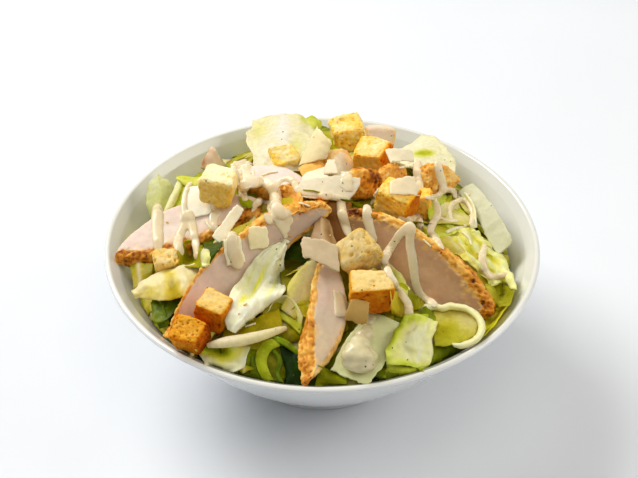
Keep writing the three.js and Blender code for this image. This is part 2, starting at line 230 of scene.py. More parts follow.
def plate_axes(a, b, lean):
    a, b = np.array(a, float), np.array(b, float)
    x = (b - a) / np.linalg.norm(b - a)
    up = np.array([0, 0, 1.0])
    up = up - (up @ x) * x
    up /= np.linalg.norm(up)
    side = np.cross(up, x)
    t = math.radians(lean)
    n = up * math.cos(t) - side * math.sin(t)
    return (a + b) / 2, np.stack([x, np.cross(n, x), n]), np.linalg.norm(b - a)


# ------------------------------------------------------------------ materials
def node_material(name, tint="tint", vary=0.06, vary_scale=260.0, roughness=(0.4, 0.6), rough_scale=150.0,
                  bumps=((500.0, 0.15, 0.0003),), subsurface=0.0, radius=(0.004, 0.0018, 0.001), specular=0.5,
                  coat=0.0, coat_rough=0.1, sheen=0.0, translucent=0.0, through=(1, 1, 1), base=None, ior=1.45):
    m = bpy.data.materials.new(name)
    m.use_nodes = True
    t = m.node_tree
    n, l = t.nodes, t.links
    n.clear()
    out = n.new("ShaderNodeOutputMaterial")
    p = n.new("ShaderNodeBsdfPrincipled")
    where = n.new("ShaderNodeTexCoord")
    if base is None:
        src = n.new("ShaderNodeAttribute")
        src.attribute_name = tint
        colour = src.outputs["Color"]
    else:
        src = n.new("ShaderNodeRGB")
        src.outputs[0].default_value = (*base, 1)
        colour = src.outputs[0]
    grain = n.new("ShaderNodeTexNoise")
    grain.inputs["Scale"].default_value = vary_scale
    grain.inputs["Detail"].default_value = 5
    grain.inputs["Roughness"].default_value = 0.6
    l.new(where.outputs["Object"], grain.inputs["Vector"])
    level = n.new("ShaderNodeMapRange")
    level.inputs["From Min"].default_value = 0.3
    level.inputs["From Max"].default_value = 0.7
    level.inputs["To Min"].default_value = 1 - vary
    level.inputs["To Max"].default_value = 1 + vary
    l.new(grain.outputs["Fac"], level.inputs["Value"])
    mul = n.new("ShaderNodeVectorMath")
    mul.operation = "SCALE"
    l.new(colour, mul.inputs[0])
    l.new(level.outputs["Result"], mul.inputs["Scale"])
    l.new(mul.outputs["Vector"], p.inputs["Base Color"])
    gloss = n.new("ShaderNodeTexNoise")
    gloss.inputs["Scale"].default_value = rough_scale
    gloss.inputs["Detail"].default_value = 3
    l.new(where.outputs["Object"], gloss.inputs["Vector"])
    rr = n.new("ShaderNodeMapRange")
    rr.inputs["From Min"].default_value = 0.3
    rr.inputs["From Max"].default_value = 0.7
    rr.inputs["To Min"].default_value = roughness[0]
    rr.inputs["To Max"].default_value = roughness[1]
    l.new(gloss.outputs["Fac"], rr.inputs["Value"])
    l.new(rr.outputs["Result"], p.inputs["Roughness"])
    normal = None
    for scale, strength, distance in bumps:
        tex = n.new("ShaderNodeTexNoise")
        tex.inputs["Scale"].default_value = scale
        tex.inputs["Detail"].default_value = 4
        l.new(where.outputs["Object"], tex.inputs["Vector"])
        b = n.new("ShaderNodeBump")
        b.inputs["Strength"].default_value = strength
        b.inputs["Distance"].default_value = distance
        l.new(tex.outputs["Fac"], b.inputs["Height"])
        if normal is not None:
            l.new(normal, b.inputs["Normal"])
        normal = b.outputs["Normal"]
    if normal is not None:
        l.new(normal, p.inputs["Normal"])
    p.inputs["Specular IOR Level"].default_value = specular
    p.inputs["IOR"].default_value = ior
    p.inputs["Coat Weight"].default_value = coat
    p.inputs["Coat Roughness"].default_value = coat_rough
    p.inputs["Sheen Weight"].default_value = sheen
    p.inputs["Subsurface Weight"].default_value = subsurface
    p.inputs["Subsurface Radius"].default_value = radius
    p.inputs["Subsurface Scale"].default_value = 1.0
    if translucent:
        tr = n.new("ShaderNodeBsdfTranslucent")
        tt = n.new("ShaderNodeVectorMath")
        tt.operation = "MULTIPLY"
        l.new(mul.outputs["Vector"], tt.inputs[0])
        tt.inputs[1].default_value = through
        l.new(tt.outputs["Vector"], tr.inputs["Color"])
        mix = n.new("ShaderNodeMixShader")
        mix.inputs["Fac"].default_value = translucent
        l.new(p.outputs[0], mix.inputs[1])
        l.new(tr.outputs[0], mix.inputs[2])
        l.new(mix.outputs[0], out.inputs["Surface"])
    else:
        l.new(p.outputs[0], out.inputs["Surface"])
    return m


M_GLAZE = node_material("white_glaze", vary=0.012, vary_scale=45, roughness=(0.10, 0.17),
                        rough_scale=30, bumps=((22.0, 0.05, 0.0006), (260.0, 0.03, 0.0001)), specular=0.5, coat=0.3,
                        coat_rough=0.06)
M_LEAF = node_material("romaine", vary=0.10, vary_scale=420, roughness=(0.28, 0.48), rough_scale=240,
                       bumps=((300.0, 0.35, 0.0005), (1100.0, 0.20, 0.0002)), specular=0.14, translucent=0.30,
                       through=(1.15, 1.12, 0.6))
M_LEAF_PALE = node_material("romaine_pale", vary=0.05, vary_scale=420, roughness=(0.26, 0.42), rough_scale=240,
                            bumps=((300.0, 0.30, 0.0005), (1100.0, 0.18, 0.0002)), specular=0.26, translucent=0.22,
                            through=(1.2, 1.12, 0.72), subsurface=0.12, radius=(0.003, 0.003, 0.0018))
M_CORE = node_material("romaine_core_painted_shade", vary=0.25, vary_scale=200, roughness=(0.45, 0.65), rough_scale=200,
                       bumps=((150.0, 0.6, 0.0012), (600.0, 0.3, 0.0003)), specular=0.12)
M_MEAT = node_material("chicken_meat", vary=0.045, vary_scale=380, roughness=(0.38, 0.58), rough_scale=300,
                       bumps=((420.0, 0.22, 0.0004), (1500.0, 0.25, 0.00015)), subsurface=0.22,
                       radius=(0.0040, 0.0016, 0.0008), specular=0.28)
M_BREAD = node_material("toasted_bread", vary=0.13, vary_scale=620, roughness=(0.72, 0.92), rough_scale=300,
                        bumps=((700.0, 0.55, 0.0005), (1900.0, 0.35, 0.0002)), specular=0.12, subsurface=0.10,
                        radius=(0.002, 0.001, 0.0003))
M_CHEESE = node_material("hard_cheese", vary=0.035, vary_scale=500, roughness=(0.40, 0.58), rough_scale=260,
                         bumps=((520.0, 0.25, 0.0003), (1700.0, 0.20, 0.0001)), subsurface=0.25,
                         radius=(0.003, 0.0022, 0.0010), specular=0.28)
M_DRESSING = node_material("creamy_dressing", vary=0.02, vary_scale=600, roughness=(0.16, 0.30), rough_scale=220,
                           bumps=((350.0, 0.10, 0.0003),), subsurface=0.25, radius=(0.003, 0.0022, 0.0014),
                           specular=0.5)
M_HERB = node_material("dried_herb", vary=0.3, vary_scale=900, roughness=(0.6, 0.85), rough_scale=600,
                       bumps=((1500.0, 0.5, 0.0002),), specular=0.3)

# ------------------------------------------------------------------ light, floor, camera
scene = bpy.context.scene
scene.view_settings.view_transform = "Standard"
scene.view_settings.look = "None"
scene.view_settings.exposure = 0.0
scene.view_settings.gamma = 1.0

world = bpy.data.worlds.new("studio")
scene.world = world
world.use_nodes = True
bg = world.node_tree.nodes["Background"]
bg.inputs["Color"].default_value = (1.0, 0.985, 0.955, 1)
bg.inputs["Strength"].default_value = 0.17


def area(name, at, aim, size, watts, colour=(1, 1, 1)):
    d = bpy.data.lights.new(name, "AREA")
    d.shape = "RECTANGLE"
    d.size, d.size_y = size
    d.energy = watts
    d.color = colour
    o = bpy.data.objects.new(name, d)
    o.location = at
    o.rotation_euler = (Vector(aim) - Vector(at)).to_track_quat("-Z", "Y").to_euler()
    scene.collection.objects.link(o)
    return o


area("key_light", (-0.85, 0.78, 1.20), (-0.04, 0.03, 0.05), (1.0, 0.8), 25.0, (1.0, 0.99, 0.965))
area("front_top", (0.1, -0.6, 1.5), (0, 0, 0.05), (1.2, 1.2), 7.5, (1.0, 0.965, 0.89))
area("right_fill", (1.3, 0.0, 0.9), (0, 0, 0.05), (0.9, 0.9), 10.0, (1.0, 0.97, 0.91))
area("low_left", (-1.15, -0.35, 0.36), (-0.06, -0.04, 0.06), (0.6, 0.4), 0.45, (1.0, 0.985, 0.95))
area("left_fill", (-1.3, 0.1, 0.9), (0, 0, 0.05), (0.9, 0.9), 1.5, (1.0, 1.0, 1.0))

FLOOR_N = 61
fx = np.linspace(-2.2, 2.2, FLOOR_N)
fg = np.stack(np.meshgrid(fx, fx, indexing="ij"), -1).reshape(-1, 2)
floor_mesh = bpy.data.meshes.new("tabletop")
floor_mesh.from_pydata([(float(a), float(b), 0.0) for a, b in fg], [], grid_quads(FLOOR_N, FLOOR_N).tolist())
floor_mesh.materials.append(
    node_material("pale_tabletop", base=(0.79, 0.815, 0.855), vary=0.012, vary_scale=6, roughness=(0.45, 0.6),
                  rough_scale=8, bumps=((900.0, 0.02, 0.0001),), specular=0.25))
floor = bpy.data.objects.new("tabletop", floor_mesh)
scene.collection.objects.link(floor)

cam_data = bpy.data.cameras.new("camera")
cam_data.lens = 70
cam_data.sensor_width = 36
cam_data.sensor_fit = "HORIZONTAL"
cam_data.clip_start = 0.02
cam_data.clip_end = 20
camera = bpy.data.objects.new("camera", cam_data)
camera.location = Vector(EYE * MM)
camera.rotation_euler = Vector(-BACK).to_track_quat("-Z", "Y").to_euler()
scene.collection.objects.link(camera)
scene.camera = camera

# ------------------------------------------------------------------ the CAD solids, to place things against
CAD = {name: points_of(o) for name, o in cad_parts.items()}
TOPPINGS = [n for n in CAD if n.startswith(("chicken", "crouton", "shaving", "dressing"))]
cad_all = tree_of([CAD[n] for n in CAD if n != "bowl"])
cad_toppings = tree_of([CAD[n] for n in TOPPINGS])
cad_heap = tree_of([CAD["lettuce_heap"]])

# ------------------------------------------------------------------ bowl
RIM_R, BOWL_H, WALL, LIP = 115.0, 83.0, 3.6, 1.8
FOOT_R, FOOT_IN, FOOT_H, RECESS, FLOOR = 48.5, 43.5, 5.0, 3.0, 6.8
ROOT_R, ROOT_Z, FLARE = 38.0, 2.0, 0.71


def outer_r(z):
    return ROOT_R + (RIM_R - ROOT_R) * (max(z - ROOT_Z, 0) / (BOWL_H - ROOT_Z)) ** FLARE


def inner_point(z):
    dr = (outer_r(z + 0.05) - outer_r(z - 0.05)) / 0.1
    k = WALL / math.hypot(1, dr)
    return outer_r(z) - k, z + k * dr


INNER = [p for p in (inner_point(z) for z in np.arange(4, BOWL_H - LIP - 0.4, 0.5)) if FLOOR + 0.2 < p[1] < BOWL_H - LIP - 1.4]
INNER_R = np.array([p[0] for p in INNER])
INNER_Z = np.array([p[1] for p in INNER])


def inside_r(z):
    """Radius of the inner wall at a height."""
    return np.interp(z, np.r_[INNER_Z, BOWL_H - LIP, BOWL_H], np.r_[INNER_R, RIM_R - 2 * LIP, RIM_R - LIP])


def round_corner(c, r, a0, a1, n):
    return [(c[0] + r * math.cos(math.radians(a)), c[1] + r * math.sin(math.radians(a))) for a in np.linspace(a0, a1, n)]


prof = [(0.0, FLOOR)] + [(r, FLOOR) for r in (8, 16, 24, 30, 34)]
prof += [(INNER_R[0] * 0.9 + 3.4, FLOOR + 0.02), (INNER_R[0] - 1.2, FLOOR + 0.12)]
prof += [p for k, p in enumerate(INNER) if k % 2 == 0]
prof += round_corner((RIM_R - LIP, BOWL_H - LIP), LIP, 152, 10, 12)
prof += [(outer_r(z), z) for z in FOOT_H + 1.2 + (BOWL_H - 3.2 - FOOT_H - 1.2) * np.linspace(1, 0, 56) ** 1.15]
neck = outer_r(FOOT_H + 1.2)
prof += [(FOOT_R + (neck - FOOT_R) * 0.45, FOOT_H + 0.35), (FOOT_R + 0.25, FOOT_H - 0.35), (FOOT_R - 0.35, FOOT_H - 1.3)]
prof += [(FOOT_R - 0.3, 2.6), (FOOT_R - 0.05, 1.4)] + round_corner((FOOT_R - 0.8, 0.8), 0.8, 0, -90, 5)
prof += [(p[0], p[1]) for p in round_corner((FOOT_IN + 0.8, 0.8), 0.8, -90, -180, 5)]
prof += [(FOOT_IN, RECESS - 0.6), (FOOT_IN - 0.6, RECESS), (30.0, RECESS), (15.0, RECESS), (0.0, RECESS)]
NSEG = 184
ang = np.linspace(0, 2 * math.pi, NSEG, endpoint=False)
pr = np.array(prof)
bowl_v = np.stack(
    [pr[:, None, 0] * np.cos(ang)[None], pr[:, None, 0] * np.sin(ang)[None], np.repeat(pr[:, None, 1], NSEG, 1)], -1
).reshape(-1, 3)
# the inside of the glaze is painted darker and warmer than the outside: painted shade and bounce light off the salad on
# one white glaze
inner_side = (np.hypot(bowl_v[:, 0], bowl_v[:, 1]) < inside_r(bowl_v[:, 2]) + 1.6) & (bowl_v[:, 2] > FLOOR - 1.0)
bowl_tint = np.where(inner_side[:, None], np.array([0.775, 0.775, 0.715]), np.array([0.80, 0.815, 0.82]))
bowl = build("serving_bowl", bowl_v, grid_quads(len(pr), NSEG, wrap_v=True), M_GLAZE, tint=bowl_tint, replaces=["bowl"],
             merge=0.002, solid=False)

# ------------------------------------------------------------------ chicken
CHICKEN = {
    "a": ((-106.8, -18.1, 85.5), (-34.1, 5.8, 102.6), 14, 27, 9.5, 0.5, (0.62, 0.55), 2.0, -1),
    "b": ((-49.3, 31.9, 100.7), (-8.9, 11.5, 109.5), 12, 20, 9.0, 0.45, (0.5, 0.6), 0.0, -1),
    "c": ((-75.2, -76.5, 80.1), (5.1, -13.3, 110.5), 62, 33, 9.5, 0.45, (0.75, 0.4), 4.0, 1),
    "d": ((2.8, -47.9, 106.1), (-4.8, -109.5, 86.5), -25, 20, 8.5, 0.42, (0.35, 0.85), 4.0, -1),
    "e": ((10.2, -12.9, 106.4), (84.2, -59.3, 79.5), 62, 31, 9.5, 0.5, (0.42, 0.55), -1.0, 1),
    "f": ((0.5, -18.3, 94.3), (12.3, -17.8, 93.9), 56, 15, 6.0, 0.5, (0.5, 0.5), 0.0, 1),
    "g": ((11.0, 6.9, 109.5), (32.3, 13.8, 106.7), 72, 16, 8.0, 0.5, (0.3, 0.3), 0.0, 1),
    "h": ((5.4, 27.4, 105.2), (17.6, 40.9, 102.2), 50, 18, 7.0, 0.6, (0.5, 0.25), 1.0, 1),
    "i": ((25.3, 75.0, 97.1), (42.7, 78.3, 93.5), 70, 15, 8.0, 0.5, (0.22, 0.14), 0.0, 1),
    "j": ((-66.6, 58.0, 86.2), (-59.9, 64.2, 93.4), 60, 14.5, 7.0, 0.10, (0.3, 1.5), 1.5, 1),
    "k": ((55.2, 27.5, 98.5), (77.2, 41.7, 88.8), 68, 17, 10.0, 0.4, (0.3, 0.7), 0.0, 1),
    "l": ((31.0, 15.0, 107.8), (46.0, 25.0, 104.0), 72, 13, 6.5, 0.5, (0.3, 0.3), 0.0, 1),
}
# How far the browning comes onto the seen face from the skin edge (mm), how dark the skin is
# (0 golden to 1 dark brown), and how much of the seen face itself is browned.
# Then how brown the skin wall, the other wall and the ends are, and the band and darkness at each end.
BROWNING = {
    "a": (1.4, 0.52, 0.0, 1.0, 0.25, 0.4, (2.5, 1.7), (0.0, 0.08)),
    "b": (2.0, 0.50, 0.0, 1.0, 0.3, 0.4, (1.0, 1.2), (0.0, 0.0)),
    "c": (1.7, 0.20, 0.0, 1.0, 0.0, 0.5, (0.35, 2.1), (0.16, 0.20)),
    "d": (1.5, 0.29, 0.0, 1.0, 0.45, 0.5, (0.9, 1.5), (0.0, 0.18)),
    "e": (2.2, 0.24, 0.0, 1.0, 0.2, 0.6, (1.2, 2.8), (0.04, 0.32)),
    "f": (0.2, 0.85, 0.0, 0.12, 0.05, 0.05, (1.0, 1.0), (0.0, 0.0)),
    "g": (2.5, 0.42, 0.85, 0.9, 0.5, 0.3, (1.0, 1.0), (-0.12, 0.22)),
    "h": (1.0, 0.15, 0.0, 0.6, 0.1, 0.1, (1.0, 1.0), (0.0, 0.0)),
    "i": (0.4, 0.35, 0.0, 0.25, 0.05, 0.5, (0.2, 1.0), (-0.2, 0.3)),
    "j": (0.5, 0.30, 0.0, 0.35, 0.05, 0.3, (1.0, 1.0), (0.2, 0.0)),
    "k": (2.5, 0.37, 0.80, 0.9, 0.5, 0.5, (1.0, 1.0), (0.06, -0.12)),
    "l": (2.0, 0.36, 0.75, 0.9, 0.5, 0.4, (1.0, 1.0), (0.0, 0.0)),
}
# Tint of the meat at the two ends of each piece; it changes over along the middle. The tints also carry painted light
# and shade: all of f, the start of e in the dark gap and the far end of c are darkened as painted shade, and the start
# of d is lightened as painted light.
MEAT_TINT_AND_PAINTED_LIGHT = {"a": ((0.93, 1.01, 1.08), (0.95, 1.02, 1.07)), "b": ((0.97, 1.02, 1.14), (0.97, 1.02, 1.14)),
             "c": ((0.97, 1.04, 1.10), (0.66, 0.65, 0.62)), "d": ((1.00, 1.11, 1.15), (0.80, 0.86, 0.72)),
             "e": ((0.46, 0.34, 0.20), (0.69, 0.55, 0.38)), "f": ((0.36, 0.25, 0.13), (0.33, 0.22, 0.11)),
             "g": ((0.78, 0.71, 0.60), (0.78, 0.71, 0.60)), "h": ((1.13, 1.36, 1.30), (1.13, 1.36, 1.30)),
             "i": ((1.02, 1.16, 1.34), (1.0, 1.10, 1.15)), "j": ((1.0, 1.10, 1.30), (1.0, 1.10, 1.30)),
             "k": ((0.74, 0.76, 0.84), (0.78, 0.80, 0.86)), "l": ((0.98, 0.95, 0.45), (0.98, 0.95, 0.45))}
# Share of the half width missing on the side away from the skin, and between which shares of the length it sets in.
OFF_CUT = {"c": (0.62, 0.46, 0.76)}
ON_CUT = {"i": 0.42}  # the same for the skin side, all along
# How far the skin wall slopes in under the seen face, as a share of the depth: at the start, at the end, and where it changes.
UNDER = {"c": (0.85, 0.0, 0.45, 0.72), "d": (0.40, -0.50, 0.30, 0.90), "a": (-0.42, -0.10, 0.1, 0.7), "e": (0.1, -0.05, 0.55, 0.95)}
OFF_RIM = {"c": (0.66, 0.75), "d": (0.46, 0.62)}  # from which share of the length that side has a thin crust, and how strong
CRUST_STOPS = [(0.0, (250, 214, 138)), (0.22, (243, 188, 84)), (0.45, (224, 150, 42)), (0.7, (178, 102, 16)), (0.88, (118, 60, 8)), (1.0, (66, 32, 5))]
MEAT_STOPS = [(0.0, (212, 174, 144)), (0.35, (230, 196, 170)), (0.65, (239, 211, 188)), (1.0, (247, 227, 206))]


def slab(key, row, seed):
    a, b, lean, wide, thick, full, blunt, bow, skin = row
    centre, axes, length = plate_axes(a, b, lean)
    stations = int(max(36, min(170, length * 1.7)))
    k10 = np.arange(11)
    u10 = (1 - np.cos(np.pi * k10 / 10)) / 2
    k = np.linspace(0, 10, stations + 1)
    u = (1 - np.cos(np.pi * k / 10)) / 2
    half = np.where(u < full, np.sin(np.pi / 2 * np.clip(u / full, 0, 1)) ** blunt[0],
                    np.sin(np.pi / 2 * np.clip((1 - u) / (1 - full), 0, 1)) ** blunt[1]) * wide / 2
    edge = {}
    cut, cut_a, cut_b = OFF_CUT.get(key, (0.0, 0.0, 1.0))
    short = half * (1 - cut * smooth01(u, cut_a, cut_b))
    skin_half = half * (1 - ON_CUT.get(key, 0.0))
    und_a, und_b, und_0, und_1 = UNDER.get(key, (0.0, 0.0, 0.0, 1.0))
    under = und_a + (und_b - und_a) * smooth01(u, und_0, und_1)
    for s in (-1, 1):
        wob = 1 + 0.045 * np.interp(k, k10, [rough(x, s, 1, seed) for x in u10])
        y = s * (skin_half if s == skin else short) * wob + bow * 4 * u * (1 - u)
        x = (u - 0.5) * length
        tx, ty = np.gradient(x), np.gradient(y)
        n = np.stack([-ty, tx], -1) * s
        n[0], n[-1] = (-1, 0), (1, 0)
        n /= np.linalg.norm(n, axis=1, keepdims=True) + 1e-9
        edge[s] = (np.stack([x, y], -1), n)
    deep = thick * (0.72 + 0.28 * np.sin(np.pi * u))
    rc = min(1.7, thick * 0.2, wide * 0.12)
    inset_max = np.minimum(rc, half * 0.8)
    ntop = int(max(10, min(40, wide * 1.25)))
    nwall = int(max(10, thick * 1.7))
    nlow = max(6, ntop // 3)
    ring, info = [], []  # each entry: (n,3) points of one lengthwise line

    def wall(s, z01):
        """A line along the wall of side s, at depth share z01."""
        pts, nrm = edge[s]
        z = -z01 * deep
        up = np.clip((rc + z) / rc, 0, 1)
        dn = np.clip((rc - (deep + z)) / rc, 0, 1)
        f = np.maximum(up, dn)
        ins = (1 - np.sqrt(np.clip(1 - f * f, 0, 1))) * inset_max - 0.35 * np.sin(np.pi * z01)
        if s == skin:
            ins = ins + np.clip(under * z01 * deep, -9, half * 0.9)
        q = pts - nrm * ins[:, None]
        return np.column_stack([q, z])

    left_top, right_top = wall(-1, 0.0), wall(1, 0.0)
    left_low, right_low = wall(-1, 1.0), wall(1, 1.0)
    for t in np.linspace(0, 1, ntop):
        ring.append(left_top * (1 - t) + right_top * t)
        info.append((0, 2 * t - 1))
    for t in np.linspace(0, 1, nwall + 2)[1:-1]:
        t = (1 - math.cos(math.pi * t)) / 2 * 0.5 + t * 0.5
        ring.append(wall(1, t))
        info.append((1, t))
    for t in np.linspace(0, 1, nlow):
        ring.append(right_low * (1 - t) + left_low * t)
        info.append((2, 1 - 2 * t))
    for t in np.linspace(1, 0, nwall + 2)[1:-1]:
        t = (1 - math.cos(math.pi * t)) / 2 * 0.5 + t * 0.5
        ring.append(wall(-1, t))
        info.append((3, t))
    m, ns = len(ring), stations + 1
    loc = np.stack(ring, 1)  # stations, ring, 3
    kind = np.array([i[0] for i in info])
    val = np.array([i[1] for i in info])
    half2 = np.repeat(((skin_half + short) / 2)[:, None], m, 1)
    K = np.repeat(kind[None], ns, 0)
    V = np.repeat(val[None], ns, 0)
    U = np.repeat(u[:, None], m, 1)
    flat = loc.reshape(-1, 3)
    world = centre + flat @ axes
    # browning
    band, dark, face, skin_amt, off_amt, end_amt, grow, darken = BROWNING[key]
    uu = U.ravel()
    along = smooth01(uu, 0.15, 0.85) if key != "e" else smooth01(uu, 0.55, 0.92)
    band = band * (grow[0] * (1 - along) + grow[1] * along)
    dark = dark + darken[0] * (1 - along) + darken[1] * along
    if key == "e":  # its start lies in the dark gap: the wider, darker crust there is partly browning, partly painted shade
        start = 1 - smooth01(uu, 0.10, 0.22)
        band, dark = band * (1 + 1.5 * start), dark + 0.50 * start
    wob = (fbm(world, 6.5, 3, 40 + seed) * 1.5 + fbm(world, 1.7, 3, 50 + seed) * 0.9) * np.clip(band * 0.55, 0.35, 1.6)
    dist = np.where(K == 0, (1 - V * skin) * half2, np.where(K == 2, (1 - V * skin) * half2 + 3, 99))
    on_skin = (K == (1 if skin > 0 else 3))
    off_skin = (K == (3 if skin > 0 else 1))
    crust = np.where(on_skin, 1.0, 0.0).ravel()
    d = dist.ravel()
    crust = np.maximum(crust, 1 - smooth01(d + wob, band * 0.35, band * 1.15 + 0.2))
    crust = np.where(K.ravel() == 0, np.maximum(crust, 0.8 * np.exp(-d / (band * 1.6 + 0.2)) * smooth01(fbm(world, 2.6, 3, 44 + seed), 0.12, 0.3)), crust)
    crust = np.where(on_skin.ravel(), skin_amt, np.minimum(crust, np.maximum(skin_amt, face)))
    if key in OFF_RIM:
        rim_from, rim_amt = OFF_RIM[key]
        d_off = np.where(K == 0, (1 + V * skin) * half2, np.where(off_skin, 0.0, 99)).ravel()
        crust = np.maximum(crust, rim_amt * smooth01(uu, rim_from, rim_from + 0.12)
                           * (1 - smooth01(d_off + 0.8 * fbm(world, 2.4, 3, 47 + seed), 0.1, 1.0)))
    ends = np.minimum(U, 1 - U).ravel() * length
    crust = np.maximum(crust, (1 - smooth01(ends + wob, 0.4, 2.0)) * end_amt)
    if key == "e":
        crust = np.maximum(crust, 1 - smooth01((1 - uu) * length + wob, 3.5, 6.5))
    other = (off_skin & (K > 0)).ravel()
    thin = smooth01(fbm(world, 9.0, 2, 60 + seed), 0.0, 0.5)
    crust = np.where(other, np.maximum(crust, off_amt * (0.6 + 0.9 * thin)), crust)
    if face:
        crust = np.maximum(crust, face * smooth01(fbm(world, 6, 2, 70 + seed) + 0.75, 0.0, 0.4))
    # shape
    nrm = grid_normals_ring(loc, ns, m)
    rugged = 0.62 * fbm(world, 3.2, 4, seed + 3, 0.65) + 0.38 * (1 - 2.4 * np.abs(vnoise(world, 2.0, seed + 9))) + 0.22 * fbm(world, 0.95, 2, seed + 10)
    face_wave = 0.35 * fbm(world, 9.0, 2, seed + 5) + 0.10 * fbm(world, 2.2, 2, seed + 6)
    push = crust * (rugged - 0.25) * 1.35 + (1 - crust) * face_wave
    taper = smooth01(np.minimum(U, 1 - U).ravel(), 0.0, 0.02)
    top_crown = np.where(K == 0, 0.25 * (1 - V**2), 0).ravel()
    loc2 = flat + nrm * (push * (0.35 + 0.65 * taper))[:, None]
    loc2[:, 2] += top_crown
    first, last = np.arange(m), (ns - 1) * m + np.arange(m)
    for idx in (first, last):  # both walls meet at each end
        loc2[idx, 1] = loc2[idx, 1].mean()
    world2 = centre + loc2 @ axes
    # colour
    fibre = np.stack([flat[:, 0] * 0.35, flat[:, 1], flat[:, 2]], -1)
    tone = 0.62 + 0.22 * fbm(fibre + seed * 17.0, 6.0, 3, seed + 11) + 0.10 * fbm(world, 1.8, 2, seed + 12)
    tone = tone - 0.22 * np.exp(-d / 3.5)
    tint_a, tint_b = (np.array(c) for c in MEAT_TINT_AND_PAINTED_LIGHT.get(key, ((1.0, 1.0, 1.0),) * 2))
    meat = ramp(np.clip(tone, 0, 1), MEAT_STOPS) * blend(np.repeat(tint_a[None], len(uu), 0), np.repeat(tint_b[None], len(uu), 0),
                                                         smooth01(uu, 0.30, 0.80) if key != "e" else smooth01(uu, 0.05, 0.30))
    if key == "e":  # paler away from the skin
        meat = meat * (1 + (smooth01(d, 6.0, 16.0) * smooth01(uu, 0.30, 0.60))[:, None] * np.array([0.20, 0.28, 0.40]))
    pink = smooth01(fbm(world, 14.0, 2, seed + 13), -0.1, 0.6)[:, None]
    meat = meat * (1 - pink * np.array([0.0, 0.045, 0.03]))
    ct = dark + 0.40 * fbm(world, 4.4, 3, seed + 21) + 0.26 * fbm(world, 1.3, 3, seed + 22) - 0.28 * np.clip(rugged, -0.6, 0.6)
    c, who = cells(world, 2.6, seed + 23)
    specks = (c < 0.23) & (who > 0.55)
    ct = np.where(specks, ct + 0.35, ct)
    skinc = ramp(np.clip(ct, 0, 1), CRUST_STOPS)
    gold = ramp(np.clip(0.12 + 0.25 * fbm(world, 2, 2, seed + 24), 0, 1), CRUST_STOPS)
    mid = smooth01(crust, 0.05, 0.55)
    col = blend(meat, gold, np.clip(mid * 0.75, 0, 1))
    col = blend(col, skinc, smooth01(crust, 0.45, 0.85))
    crumbs, who = cells(world, 5.5, seed + 33)
    herb = (crumbs < 0.055) & (who > 0.6) & (crust < 0.3)
    col[herb] = lin((120, 92, 60))
    faces = grid_quads(ns, m, wrap_v=True)
    return build("sliced_chicken_" + key, world2, faces, M_MEAT, tint=col, values={"crust": crust},
                 replaces=["chicken_" + key], merge=0.004)


def grid_normals_ring(loc, ns, m):
    """Outward normals of a tube of rings given in local axes."""
    a = np.gradient(loc, axis=0)
    b = np.roll(loc, -1, 1) - np.roll(loc, 1, 1)
    n = np.cross(b, a)
    n /= np.linalg.norm(n, axis=-1, keepdims=True) + 1e-9
    mid = loc.mean(1, keepdims=True)
    out = ((loc - mid) * n).sum(-1)
    if np.median(out) < 0:
        n = -n
    return n.reshape(-1, 3)


for i, (key, row) in enumerate(CHICKEN.items()):
    if key != "j":  # the pointed tip at the back left is shaped with the sheets further down
        slab(key, row, i + 1)

# ------------------------------------------------------------------ croutons
# at, size, turn, then: base tone (0 pale crumb to 1 dark toast), pores, and [(world direction, change of tone)]; the
# changes by world direction are painted light and shade: faces turned up or to the light paler, faces turned down,
# forward or right darker
CROUTONS = {
    "01": ((-53.6, 5.7, 111.7), (19, 18, 18), (6, 4, -14), 0.13, 0.45, [((0, 0, 1), -0.18), ((0, -1, 0), 0.10), ((0, 0, -1), 0.25), ((1, 0, 0), 0.0)]),
    "02": ((14.9, 72.4, 100.2), (19, 16, 17), (14, -8, 12), 0.34, 0.65, [((1, 0, 0), -0.10), ((0, -1, 0), 0.06)]),
    "03": ((27.8, 39.4, 106.6), (19, 16, 15), (10, -8, -22), 0.36, 0.6, [((1, -0.3, 0), 0.28), ((0, 0, 1), -0.10)]),
    "04": ((38.8, -2.3, 108.0), (20, 16, 15), (6, 6, -30), 0.34, 0.6, [((1, -0.2, 0), 0.42), ((0, 0, 1), -0.08)]),
    "05": ((17.8, -50.1, 111.7), (20, 17, 18), (30, -18, 30), 0.14, 0.5, [((0, 0, -1), 0.35), ((1, 0, 0), 0.06)]),
    "06": ((23.2, -70.0, 104.0), (20, 15, 17), (4, 2, 4), 0.30, 0.5, [((0, 0, 1), -0.24), ((0, -1, 0), 0.30), ((-1, 0, 0), 0.05)]),
    "07": ((-51.9, -72.5, 94.7), (15.5, 14.5, 15.5), (10, 4, -28), 0.44, 0.35, [((0, 0, 1), -0.30), ((0, -1, 0), 0.16), ((-1, 0, 0), 0.10)]),
    "08": ((-62.9, -84.1, 89.2), (15.5, 13, 14), (20, -6, -22), 0.50, 1.0, [((0, 0, 1), -0.14), ((1, 0, 0), 0.28)]),
    "09": ((-78.8, -30.6, 90.5), (15, 12, 10), (16, 8, 14), 0.12, 0.5, [((1, 0, 0), 0.16)]),
    "10": ((-21.2, 40.4, 103.9), (14, 13, 11), (20, 10, 20), 0.36, 0.3, [((0, 0, 1), -0.04)]),
    "11": ((51.8, 7.6, 99.2), (11, 12, 15), (4, 4, -8), 0.30, 0.3, [((1, 0, 0), 0.05)]),
}
BREAD_TINT = {"01": (1.04, 1.03, 1.08), "02": (1.10, 1.30, 3.0), "03": (1.22, 1.08, 1.6), "04": (1.05, 1.08, 1.05),
              "05": (0.80, 0.75, 0.74), "06": (0.80, 0.61, 0.29), "07": (0.82, 0.58, 0.24), "08": (0.84, 0.67, 0.47),
              "09": (0.90, 0.84, 0.78), "10": (1.04, 1.26, 2.6), "11": (1.12, 0.98, 0.8)}
